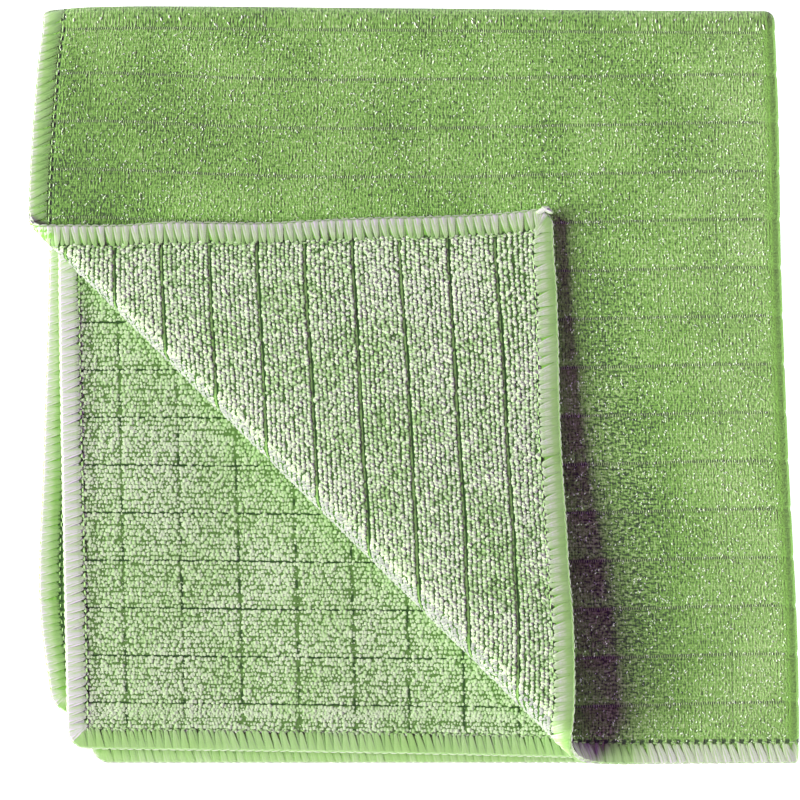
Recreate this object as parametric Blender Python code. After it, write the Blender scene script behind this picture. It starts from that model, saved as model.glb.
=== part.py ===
"""A square microfibre cloth, overlocked all round, folded in quarters, with its top corner turned back.

The cloth is one closed solid. It is cut and quilted flat, then folded in three steps, as by hand:
the left half goes over the right one, the lower half goes under the upper one, and the free corner
of the top layer is turned back over a loose roll.

On the flat cloth, across is the distance from the first fold, positive on the half that ends
outside, and along is the distance from the second fold, positive on the half that ends on top.
Up is the smooth knitted side, and down the side with the pile.
"""

import math
from typing import NamedTuple

import bmesh
import bpy
import numpy as np

MM = 0.001

# The flat cloth
HALF_SIDE = 202 * MM
CORNER_RADIUS = 5 * MM
THICKNESS = 2.4 * MM
LAYER_GAP = 0.6 * MM
LAYER_PITCH = THICKNESS + LAYER_GAP

# The overlocked edge: how far each line lies from the rim, and half the thickness there
HEM_PROFILE = ((0.0, 0.6 * MM), (0.9 * MM, 1.15 * MM), (2.6 * MM, 1.3 * MM), (5.2 * MM, 0.9 * MM))
HEM_END = 6.6 * MM

# The check pressed into both sides, counted from the lower and the left rims
STRONG_PITCH = 13.02 * MM
STRONG_FIRST = 14.4 * MM
STRONG_HALF_WIDTH = 1.3 * MM
STRONG_DEPTH_PILE = 0.7 * MM
STRONG_DEPTH_SMOOTH = 0.35 * MM
WEAK_PITCH = 15.4 * MM
WEAK_FIRST = 15.6 * MM
WEAK_HALF_WIDTH = 1.2 * MM
WEAK_DEPTH_PILE = 0.3 * MM
WEAK_DEPTH_SMOOTH = 0.18 * MM

# The two folds, to the middle of the cloth's thickness
FOLD_RADIUS = LAYER_PITCH / 2
FIRST_FOLD_REACH = math.pi / 2 * FOLD_RADIUS
FIRST_FOLD_STEPS = 6
SECOND_FOLD_REACH = math.pi / 2 * 2 * FOLD_RADIUS
SECOND_FOLD_STEPS = 8
STACK_CENTRE = 2 * LAYER_PITCH - LAYER_GAP / 2

# The outline, as it lies: +X right, +Y away from the free lower rims
OUTLINE_CENTRE = (0.17 * MM, 0.12 * MM)
TOP_LINE = (
    (0, 101.3), (0.2, 101.5), (0.4, 101.9), (0.6, 102.2),
    (0.8, 102.55), (0.9, 102.55), (0.96, 102.2), (1, 101.5),
)
RIGHT_TOP_X = 97.5 * MM - FOLD_RADIUS - THICKNESS / 2
RIGHT_BOTTOM_X = 104.1 * MM - FOLD_RADIUS - THICKNESS / 2
RIGHT_BOW = ((0, 0), (0.12, 0.15), (0.3, -0.45), (0.58, -0.25), (0.85, 0.55), (1, 0))

# The corner that is turned back: its roll's outer line, from the left rim to the lower rim
TURN_START = (-101.4 * MM, 40.8 * MM)
TURN_END = (43.3 * MM, -101.0 * MM)
TURN_RADIUS_START = 2.2 * MM
TURN_RADIUS_END = 5.0 * MM
TURN_STEPS = 7
TURN_SETTLES_IN = 95 * MM

# Where the lowest layer ends short, the layers over it sag
SAG_PER_SQUARE_METRE = 12.0
SAG_MOST = 2.1 * MM
SAG_ROWS_FROM_RIM = (9 * MM, 11.5 * MM, 14 * MM, 17 * MM)

# The pile lofts unevenly: the height of its swells, and their lengths along X and Y
LOFT = 0.22 * MM
LOFT_LENGTHS = (61 * MM, 47 * MM)

# Points closer than this are one, and faces flatter than this to each other are joined
SAME_PLACE = 0.0001 * MM
FLATTER_THAN = math.radians(0.35)

CLOTH_COLOUR = (0.195, 0.479, 0.08, 1)
CLOTH_ROUGHNESS = 0.9


class Layer(NamedTuple):
    """A quarter of the cloth as it lies: its corners, and how far its rims bow out, in millimetres."""

    outer: bool
    upper: bool
    top_left_x: float
    bottom_left: tuple
    bottom_right_y: float
    left_bow: tuple
    bottom_bow: tuple


STRAIGHT = ((0, 0), (1, 0))
TURNED_LEFT_BOW = (
    (0, 0), (0.03, -0.8), (0.09, -1.5), (0.15, -1.95), (0.22, -2.2), (0.27, -2.1), (0.32, -1.64), (0.4, -0.9),
    (0.47, -1.05), (0.52, -0.5), (0.6, 0.4), (0.68, 0.35), (0.76, 0.5), (0.84, 0.9), (0.93, 0.9), (1, 0),
)
TURNED_BOTTOM_BOW = (
    (0, 0), (0.1, -0.35), (0.2, -0.75), (0.27, -0.9), (0.31, -1.3), (0.36, -2.5), (0.42, -2.85), (0.48, -2.7),
    (0.54, -1.95), (0.6, -1.5), (0.66, -0.9), (0.74, -0.45), (0.82, -0.55), (0.9, -0.35), (0.96, 0.2), (1, 0),
)
LAYERS = (
    Layer(
        outer=True,
        upper=True,
        top_left_x=-99.7 * MM,
        bottom_left=(-106.7 * MM, -99.2 * MM),
        bottom_right_y=-101.4 * MM,
        left_bow=TURNED_LEFT_BOW,
        bottom_bow=TURNED_BOTTOM_BOW,
    ),
    Layer(
        outer=False,
        upper=True,
        top_left_x=-96.0 * MM,
        bottom_left=(-93.1 * MM, -97.6 * MM),
        bottom_right_y=-101.4 * MM,
        left_bow=((0, 0), (0.35, -0.5), (1, 0)),
        bottom_bow=((0, 0), (0.6, 0.4), (1, 0)),
    ),
    Layer(
        outer=False,
        upper=False,
        top_left_x=-95.2 * MM,
        bottom_left=(-86.8 * MM, -101.8 * MM),
        bottom_right_y=-101.6 * MM,
        left_bow=STRAIGHT,
        bottom_bow=STRAIGHT,
    ),
    Layer(
        outer=True,
        upper=False,
        top_left_x=-97.6 * MM,
        bottom_left=(-97.4 * MM, -88.0 * MM),
        bottom_right_y=-101.6 * MM,
        left_bow=((0, 0), (0.41, -1.2), (0.64, -2.6), (0.85, -3.5), (1, 0)),
        bottom_bow=((0, 0), (0.5, 1.2), (1, 0)),
    ),
)


def smooth_curve(points, at):
    """The values at these places of a smooth curve through (place, value) points."""
    places, values = np.array(points, float).T
    slopes = np.gradient(values, places) if len(places) > 2 else np.zeros(2)
    at = np.clip(at, places[0], places[-1])
    left = np.clip(np.searchsorted(places, at) - 1, 0, len(places) - 2)
    step = places[left + 1] - places[left]
    f = (at - places[left]) / step
    return (
        values[left] * (1 + 2 * f) * (1 - f) ** 2
        + values[left + 1] * f * f * (3 - 2 * f)
        + slopes[left] * step * f * (1 - f) ** 2
        - slopes[left + 1] * step * f * f * (1 - f)
    )


def lines(first, pitch):
    """Distances from the folds of the check's lines, which are counted from the rim."""
    reach = HALF_SIDE - first
    return [reach - i * pitch for i in range(int((reach - pitch / 2) / pitch) + 1)]


STRONG_LINES = lines(STRONG_FIRST, STRONG_PITCH)
WEAK_LINES = lines(WEAK_FIRST, WEAK_PITCH)


def turn_offset(x, y):
    """How far a point lies past the roll's outer line, and how far along that line it is, from 0 to 1."""
    start, end = np.array(TURN_START), np.array(TURN_END)
    length = np.linalg.norm(end - start)
    ahead = (end - start) / length
    past = (x - start[0]) * ahead[1] - (y - start[1]) * ahead[0]
    share = ((x - start[0]) * ahead[0] + (y - start[1]) * ahead[1]) / length
    return past, share


def turn_radius(share):
    """Radius of the roll at this share of its length."""
    return TURN_RADIUS_START + (TURN_RADIUS_END - TURN_RADIUS_START) * np.clip(share, 0, 1)


def lay_out(across, along):
    """Plan position of points of the flat cloth, folded in quarters, before the folds are rounded."""
    s = np.clip((np.abs(across) - FIRST_FOLD_REACH) / (HALF_SIDE - FIRST_FOLD_REACH), 0, None)
    t = np.clip((np.abs(along) - SECOND_FOLD_REACH) / (HALF_SIDE - SECOND_FOLD_REACH), 0, None)
    top = MM * smooth_curve(TOP_LINE, s) - STACK_CENTRE
    x, y = np.zeros_like(s), np.zeros_like(s)
    for layer in LAYERS:
        here = ((across > 0) == layer.outer) & ((along > 0) == layer.upper)
        si, ti = s[here], t[here]
        right = RIGHT_TOP_X + (RIGHT_BOTTOM_X - RIGHT_TOP_X) * ti + MM * smooth_curve(RIGHT_BOW, ti)
        left = layer.top_left_x + (layer.bottom_left[0] - layer.top_left_x) * ti
        left += MM * smooth_curve(layer.left_bow, ti)
        bottom = layer.bottom_right_y + (layer.bottom_left[1] - layer.bottom_right_y) * si
        bottom += MM * smooth_curve(layer.bottom_bow, si)
        x[here] = right + (left - right) * si
        y[here] = top[here] + (bottom - top[here]) * ti
    return x, y


def fold_in_quarters(across, along, up):
    """Position of points of the flat cloth, up above its mid-surface, once it is folded twice."""
    x, y = lay_out(across, along)
    turn = math.pi / 2 * (1 - np.clip(across / FIRST_FOLD_REACH, -1, 1))
    x = x + (FOLD_RADIUS + up) * np.sin(turn)
    from_inside = FOLD_RADIUS + (FOLD_RADIUS + up) * np.cos(turn)
    radius = FOLD_RADIUS + from_inside
    turn = math.pi / 2 * (1 - np.clip(along / SECOND_FOLD_REACH, -1, 1))
    return x, y + radius * np.sin(turn), STACK_CENTRE + radius * np.cos(turn)


def half_thickness(across, along, smooth_side):
    """Half the cloth's thickness: the overlocked rim, the check's lines and the pile's uneven loft."""
    x, y = lay_out(across, along)
    from_rim = HALF_SIDE - np.maximum(np.abs(across), np.abs(along))
    places, halves = np.array((*HEM_PROFILE, (HEM_END, THICKNESS / 2))).T
    half = np.interp(from_rim, places, halves)
    past, _ = turn_offset(x, y)
    outer, upper = across > 0, along > 0
    shows = upper & np.where(smooth_side, outer & (past < 0), past > -TURN_RADIUS_END)
    strong = np.min([np.abs(along - line) for line in STRONG_LINES], axis=0)
    weak = np.min([np.abs(np.abs(across) - line) for line in WEAK_LINES], axis=0)
    inside = shows & (from_rim > HEM_END / 2)
    strong_depth = np.where(smooth_side, STRONG_DEPTH_SMOOTH, STRONG_DEPTH_PILE)
    weak_depth = np.where(smooth_side, WEAK_DEPTH_SMOOTH, WEAK_DEPTH_PILE)
    cut = np.maximum(
        strong_depth * np.clip(1 - strong / STRONG_HALF_WIDTH, 0, 1),
        weak_depth * np.clip(1 - weak / WEAK_HALF_WIDTH, 0, 1),
    )
    swell = np.sin(2 * math.pi * x / LOFT_LENGTHS[0]) * np.cos(2 * math.pi * y / LOFT_LENGTHS[1])
    settled = np.clip(from_rim / HEM_END - 1, 0, 1)
    settled = settled * (np.abs(across) > FIRST_FOLD_REACH + SAME_PLACE)
    settled = settled * (np.abs(along) > SECOND_FOLD_REACH + SAME_PLACE)
    half = half + np.where(inside, LOFT / 2 * (swell - 1) * settled - cut, 0)
    on_floor = outer & ~upper & smooth_side & (from_rim > HEM_PROFILE[0][0])
    return np.where(on_floor, THICKNESS / 2, half)


def round_corners(across, along):
    """Draws the square's corners in to quarter circles, as an overlocker turns them."""
    inner = HALF_SIDE - CORNER_RADIUS
    a, b = np.clip(np.abs(across) - inner, 0, None), np.clip(np.abs(along) - inner, 0, None)
    in_corner = (a > 0) & (b > 0)
    scale = np.where(in_corner, np.maximum(a, b) / np.maximum(np.hypot(a, b), SAME_PLACE), 1)
    across = np.where(in_corner, np.sign(across) * (inner + a * scale), across)
    along = np.where(in_corner, np.sign(along) * (inner + b * scale), along)
    return across, along


def sag(x, y):
    """How far the upper layers come down past the lower edge of the lowest layer."""
    lowest = LAYERS[-1]
    s = np.clip((RIGHT_BOTTOM_X - x) / (RIGHT_BOTTOM_X - lowest.bottom_left[0]), 0, 1)
    edge = lowest.bottom_right_y + (lowest.bottom_left[1] - lowest.bottom_right_y) * s
    edge += MM * smooth_curve(lowest.bottom_bow, s)
    return np.minimum(SAG_PER_SQUARE_METRE * np.clip(edge - y, 0, None) ** 2, SAG_MOST)


def turn_back(x, y, z):
    """Turns what lies past the roll's line up over the roll, and lets it settle on the top layer."""
    layer_middle = STACK_CENTRE + 3 * FOLD_RADIUS
    up = z - layer_middle
    past, share = turn_offset(x, y)
    radius = turn_radius(share)
    start = radius + THICKNESS / 2
    turned = past + start
    angle = np.clip(turned / radius, 0, math.pi)
    beyond = np.clip(turned - math.pi * radius, 0, None)
    f = np.clip(beyond / TURN_SETTLES_IN, 0, 1)
    rise = LAYER_PITCH + (2 * radius - LAYER_PITCH) * (1 - f * f * (3 - 2 * f))
    middle = np.where(angle < math.pi, radius * (1 - np.cos(angle)), rise)
    moved = np.where(turned > 0, (radius - up) * np.sin(angle) - beyond - turned, 0)
    dx, dy = np.array(TURN_END) - np.array(TURN_START)
    length = math.hypot(dx, dy)
    z = layer_middle + np.where(turned > 0, middle + up * np.cos(angle), up)
    return x + dy / length * moved, y - dx / length * moved, z


def coordinates(mesh):
    """Every vertex position of a bmesh as three arrays."""
    return np.array([v.co for v in mesh.verts], float).T


def set_coordinates(mesh, x, y, z):
    """Writes the positions back."""
    for vertex, place in zip(mesh.verts, zip(x, y, z)):
        vertex.co = place


def cut(mesh, faces, point, normal):
    """Cuts these faces of a bmesh along a plane."""
    faces = list(faces)
    edges = dict.fromkeys(e for f in faces for e in f.edges)
    verts = dict.fromkeys(v for f in faces for v in f.verts)
    geometry = [*verts, *edges, *faces]
    bmesh.ops.bisect_plane(mesh, geom=geometry, dist=SAME_PLACE, plane_co=point, plane_no=normal)


def cut_flat_cloth(mesh):
    """Cuts the flat square along its folds, its hem and the lines of the check."""
    hem = [HALF_SIDE - distance for distance, _ in HEM_PROFILE[1:]] + [HALF_SIDE - HEM_END]
    first = [FIRST_FOLD_REACH * (2 * i / FIRST_FOLD_STEPS - 1) for i in range(FIRST_FOLD_STEPS + 1)]
    second = [SECOND_FOLD_REACH * (2 * i / SECOND_FOLD_STEPS - 1) for i in range(SECOND_FOLD_STEPS + 1)]
    for across in [*first, *hem, *[-line for line in hem]]:
        cut(mesh, mesh.faces, (across, 0, 0), (1, 0, 0))
    for along in [*second, *hem, *[-line for line in hem]]:
        cut(mesh, mesh.faces, (0, along, 0), (0, 1, 0))
    for distance in SAG_ROWS_FROM_RIM:
        lower = [f for f in mesh.faces if f.calc_center_median().y < -SECOND_FOLD_REACH]
        cut(mesh, lower, (0, distance - HALF_SIDE, 0), (0, 1, 0))
    for line in STRONG_LINES:
        for along in (line - STRONG_HALF_WIDTH, line, line + STRONG_HALF_WIDTH):
            upper = [f for f in mesh.faces if f.calc_center_median().y > SECOND_FOLD_REACH]
            cut(mesh, upper, (0, along, 0), (0, 1, 0))
    for line in WEAK_LINES:
        for across in (line - WEAK_HALF_WIDTH, line, line + WEAK_HALF_WIDTH):
            upper = [f for f in mesh.faces if f.calc_center_median().y > SECOND_FOLD_REACH]
            cut(mesh, upper, (across, 0, 0), (1, 0, 0))
            upper = [f for f in mesh.faces if f.calc_center_median().y > SECOND_FOLD_REACH]
            cut(mesh, upper, (-across, 0, 0), (1, 0, 0))


def cut_turn(mesh):
    """Cuts the top layer along the roll, where it is about to be turned back."""
    top_layer = STACK_CENTRE + 2 * FOLD_RADIUS
    start, end = np.array(TURN_START), np.array(TURN_END)
    ahead = (end - start) / np.linalg.norm(end - start)
    outward = np.array((ahead[1], -ahead[0]))
    for i in range(TURN_STEPS + 1):
        angle = math.pi * i / TURN_STEPS
        ends = [
            place + outward * (angle * radius - radius - THICKNESS / 2)
            for place, radius in ((start, TURN_RADIUS_START), (end, TURN_RADIUS_END))
        ]
        run = ends[1] - ends[0]
        top = [f for f in mesh.faces if all(v.co.z > top_layer for v in f.verts)]
        cut(mesh, top, (*ends[0], 0), (run[1], -run[0], 0))


def cloth_material():
    """Green microfibre."""
    material = bpy.data.materials.new("green microfibre")
    material.use_nodes = True
    shader = material.node_tree.nodes["Principled BSDF"]
    shader.inputs["Base Color"].default_value = CLOTH_COLOUR
    shader.inputs["Roughness"].default_value = CLOTH_ROUGHNESS
    shader.inputs["Metallic"].default_value = 0.0
    material.diffuse_color = CLOTH_COLOUR
    return material


def folded_cloth():
    """The whole cloth, as one closed mesh in its folded shape."""
    mesh = bmesh.new()
    bmesh.ops.create_grid(mesh, x_segments=1, y_segments=1, size=HALF_SIDE)
    cut_flat_cloth(mesh)
    pile_side = list(mesh.verts)
    made = bmesh.ops.extrude_face_region(mesh, geom=mesh.faces[:])["geom"]
    for vertex in pile_side:
        vertex.co.z = -1
    for vertex in (g for g in made if isinstance(g, bmesh.types.BMVert)):
        vertex.co.z = 1
    across, along, side = coordinates(mesh)
    half = half_thickness(across, along, side > 0)
    across, along = round_corners(across, along)
    set_coordinates(mesh, *fold_in_quarters(across, along, side * half))

    cut_turn(mesh)
    x, y, z = coordinates(mesh)
    top_layer = z > STACK_CENTRE + 2 * FOLD_RADIUS
    x[top_layer], y[top_layer], z[top_layer] = turn_back(x[top_layer], y[top_layer], z[top_layer])
    z = np.where(z > LAYER_PITCH - LAYER_GAP / 2, z - sag(x, y), z)
    set_coordinates(mesh, x - OUTLINE_CENTRE[0], y - OUTLINE_CENTRE[1], z)

    bmesh.ops.recalc_face_normals(mesh, faces=mesh.faces)
    bmesh.ops.dissolve_limit(mesh, angle_limit=FLATTER_THAN, verts=mesh.verts, edges=mesh.edges)
    bmesh.ops.triangulate(mesh, faces=mesh.faces)
    data = bpy.data.meshes.new("folded_cloth")
    mesh.to_mesh(data)
    mesh.free()
    return data


def main():
    """Clears the scene and builds the cloth in its own collection."""
    for old in list(bpy.data.objects):
        bpy.data.objects.remove(old, do_unlink=True)
    parts = bpy.data.collections.new("parts")
    bpy.context.scene.collection.children.link(parts)
    data = folded_cloth()
    data.materials.append(cloth_material())
    parts.objects.link(bpy.data.objects.new("folded_cloth", data))


if __name__ == "__main__":
    main()
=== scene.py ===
"""Dresses the folded microfibre cloth: its knitted sheet, looped pile, overlocked rim and their finishes.

Every piece is laid out on the flat cloth, where across and along are the distances from the first
and the second fold and up is the height over the middle of the cloth's thickness, smooth side up.
FoldedShape then carries it, point by point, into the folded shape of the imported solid.
"""

import logging
import math
from collections.abc import Callable
from dataclasses import dataclass, replace
from enum import Enum
from typing import ClassVar, NamedTuple

import bmesh
import bpy
import numpy as np
from bpy.types import ID, Material, Mesh, Node, NodeSocket, NodeTree, Object
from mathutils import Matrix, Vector


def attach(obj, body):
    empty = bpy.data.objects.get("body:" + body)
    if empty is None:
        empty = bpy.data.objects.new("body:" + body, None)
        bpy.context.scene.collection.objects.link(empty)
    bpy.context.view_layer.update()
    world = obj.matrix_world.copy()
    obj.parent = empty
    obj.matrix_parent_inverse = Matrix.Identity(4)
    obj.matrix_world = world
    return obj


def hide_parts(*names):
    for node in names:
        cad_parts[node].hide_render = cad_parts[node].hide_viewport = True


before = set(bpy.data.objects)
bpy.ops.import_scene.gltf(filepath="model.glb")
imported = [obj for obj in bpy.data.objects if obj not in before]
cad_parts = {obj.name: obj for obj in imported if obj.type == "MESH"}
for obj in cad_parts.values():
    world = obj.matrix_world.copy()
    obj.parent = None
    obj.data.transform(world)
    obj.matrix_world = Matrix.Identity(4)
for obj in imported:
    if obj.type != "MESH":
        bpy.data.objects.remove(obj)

log = logging.getLogger("cloth")

MM = 0.001
NODE = "folded_cloth"
BODY = "root"
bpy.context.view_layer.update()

SHEEN_TINT = (1.0, 0.93, 0.98, 1)

Array = np.ndarray
Colour = tuple[float, float, float, float]


class Side(Enum):
    """The two faces of the cloth, by the sign of their height over its middle."""

    SMOOTH = 1
    PILE = -1


def smooth_curve(points: tuple, at: Array) -> Array:
    """Reads a smooth curve.

    Args:
        points: (place, value) pairs, in order of place.
        at: The places to read it at.

    Returns:
        The curve's values there.
    """
    places, values = np.array(points, float).T
    slopes = np.gradient(values, places) if len(places) > 2 else np.zeros(2)
    at = np.clip(at, places[0], places[-1])
    left = np.clip(np.searchsorted(places, at) - 1, 0, len(places) - 2)
    step = places[left + 1] - places[left]
    f = (at - places[left]) / step
    return (
        values[left] * (1 + 2 * f) * (1 - f) ** 2
        + values[left + 1] * f * f * (3 - 2 * f)
        + slopes[left] * step * f * (1 - f) ** 2
        - slopes[left + 1] * step * f * f * (1 - f)
    )


def ease(f: Array) -> Array:
    """Goes smoothly from 0 to 1 as f does."""
    f = np.clip(f, 0, 1)
    return f * f * (3 - 2 * f)


def step(value: Array, start: float | Array, end: float | Array) -> Array:
    """Goes smoothly from 0 to 1 as the value goes from start to end."""
    return ease((value - start) / (end - start))


@dataclass(frozen=True)
class Check:
    half_side: float = 202 * MM
    strong_pitch: float = 13.02 * MM
    strong_first: float = 14.4 * MM
    strong_half_width: float = 1.3 * MM
    weak_pitch: float = 15.4 * MM
    weak_first: float = 15.6 * MM
    weak_half_width: float = 1.2 * MM
    outer_drift: tuple = (
        (0, -1.9), (20, -1.8), (40, -1.3), (65, -0.7), (95, -0.1), (130, 0.4), (155, 0), (180, -1.0),
        (202, -1.2),
    )
    inner_drift: tuple = ((0, -1.9), (15, -1.5), (60, 0.8), (110, 1.5), (150, 1.7), (202, 1.75))
    weak_drift: tuple = ((0, 0), (100, 1.9), (138, 2.4), (168, 1.4), (186, 0.7), (202, 0.3))
    drift_from_fold: tuple[float, float] = (5 * MM, 12 * MM)
    drift_from_rim: tuple[float, float] = (8 * MM, 14 * MM)

    def drift(self, across: Array, along: Array) -> tuple[Array, Array]:
        """How far the knit has been pulled off the straight.

        Args:
            across: Distances from the first fold.
            along: Distances from the second fold.

        Returns:
            How far the weak lines lie towards the first fold, and the strong ones away from the second.
        """
        reach, place = np.abs(across) / MM, np.abs(along)
        outer, inner = smooth_curve(self.outer_drift, reach), smooth_curve(self.inner_drift, reach)
        strong = np.where(across > 0, outer, inner) * step(place, *self.drift_from_fold)
        strong = strong * step(self.half_side - place, *self.drift_from_rim)
        return np.where(across > 0, 0, MM * smooth_curve(self.weak_drift, reach)), MM * strong

    def lines(self, first: float, pitch: float) -> list[float]:
        """Distances from the fold of the lines that lie this far apart."""
        reach = self.half_side - first
        return [reach - i * pitch for i in range(int((reach - pitch / 2) / pitch) + 1)]

    def strong_lines(self) -> list[float]:
        """The lines along the ribs, by their distance from the second fold."""
        return self.lines(self.strong_first, self.strong_pitch)

    def weak_lines(self) -> list[float]:
        """The lines across the ribs, by their distance from the first fold."""
        return self.lines(self.weak_first, self.weak_pitch)

    def cells(self, across: Array, along: Array) -> tuple[Array, Array]:
        """Counts cells from the rims.

        Args:
            across: Distances from the first fold.
            along: Distances from the second fold.

        Returns:
            The weak and the strong count, which are whole numbers on the lines.
        """
        weak_off, strong_off = self.drift(across, along)
        weak = (self.half_side - self.weak_first - weak_off - np.abs(across)) / self.weak_pitch
        strong = (self.half_side - self.strong_first + strong_off - np.abs(along)) / self.strong_pitch
        return weak, strong

    def distances(self, across: Array, along: Array) -> tuple[Array, Array]:
        """How far points of the flat cloth lie inside the nearest weak and strong line."""
        weak, strong = self.cells(across, along)
        return (weak - np.round(weak)) * self.weak_pitch, (strong - np.round(strong)) * self.strong_pitch


STRAIGHT = ((0, 0), (1, 0))


class Quarter(NamedTuple):
    """A quarter of the cloth as it lies: its corners, and how far its rims bow out, in millimetres."""

    outer: bool
    upper: bool
    top_left_x: float
    bottom_left: tuple[float, float]
    bottom_right_y: float
    left_bow: tuple = STRAIGHT
    bottom_bow: tuple = STRAIGHT

    def left(self, t: Array) -> Array:
        """X of the left rim at these shares of the way down."""
        end = self.bottom_left[0]
        return self.top_left_x + (end - self.top_left_x) * t + MM * smooth_curve(self.left_bow, t)

    def bottom(self, s: Array) -> Array:
        """Y of the bottom rim at these shares of the way to the left."""
        end = self.bottom_left[1]
        return self.bottom_right_y + (end - self.bottom_right_y) * s + MM * smooth_curve(self.bottom_bow, s)


TURNED_LEFT_BOW = (
    (0, 0), (0.03, -0.8), (0.09, -1.5), (0.15, -1.95), (0.22, -2.2), (0.27, -2.1), (0.32, -1.64), (0.4, -0.9),
    (0.47, -1.05), (0.52, -0.5), (0.6, 0.4), (0.68, 0.35), (0.76, 0.5), (0.84, 0.9), (0.93, 0.9), (1, 0),
)
TURNED_BOTTOM_BOW = (
    (0, 0), (0.1, -0.35), (0.2, -0.75), (0.27, -0.9), (0.31, -1.3), (0.36, -2.5), (0.42, -2.85), (0.48, -2.7),
    (0.54, -1.95), (0.6, -1.5), (0.66, -0.9), (0.74, -0.45), (0.82, -0.55), (0.9, -0.35), (0.96, 0.2), (1, 0),
)
TOP_LINE = (
    (0, 101.3), (0.2, 101.5), (0.4, 101.9), (0.6, 102.2), (0.8, 102.55), (0.9, 102.55), (0.96, 102.2),
    (1, 101.5),
)
LOWEST_BOW = ((0, 0), (0.41, -1.2), (0.64, -2.6), (0.85, -3.5), (1, 0))
QUARTERS = (
    Quarter(
        outer=True,
        upper=True,
        top_left_x=-99.7 * MM,
        bottom_left=(-106.7 * MM, -99.2 * MM),
        bottom_right_y=-101.4 * MM,
        left_bow=TURNED_LEFT_BOW,
        bottom_bow=TURNED_BOTTOM_BOW,
    ),
    Quarter(
        outer=False,
        upper=True,
        top_left_x=-96.0 * MM,
        bottom_left=(-93.1 * MM, -97.6 * MM),
        bottom_right_y=-101.4 * MM,
        left_bow=((0, 0), (0.35, -0.5), (1, 0)),
        bottom_bow=((0, 0), (0.6, 0.4), (1, 0)),
    ),
    Quarter(
        outer=False,
        upper=False,
        top_left_x=-95.2 * MM,
        bottom_left=(-86.8 * MM, -101.8 * MM),
        bottom_right_y=-101.6 * MM,
    ),
    Quarter(
        outer=True,
        upper=False,
        top_left_x=-97.6 * MM,
        bottom_left=(-97.4 * MM, -88.0 * MM),
        bottom_right_y=-101.6 * MM,
        left_bow=LOWEST_BOW,
        bottom_bow=((0, 0), (0.5, 1.2), (1, 0)),
    ),
)


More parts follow.
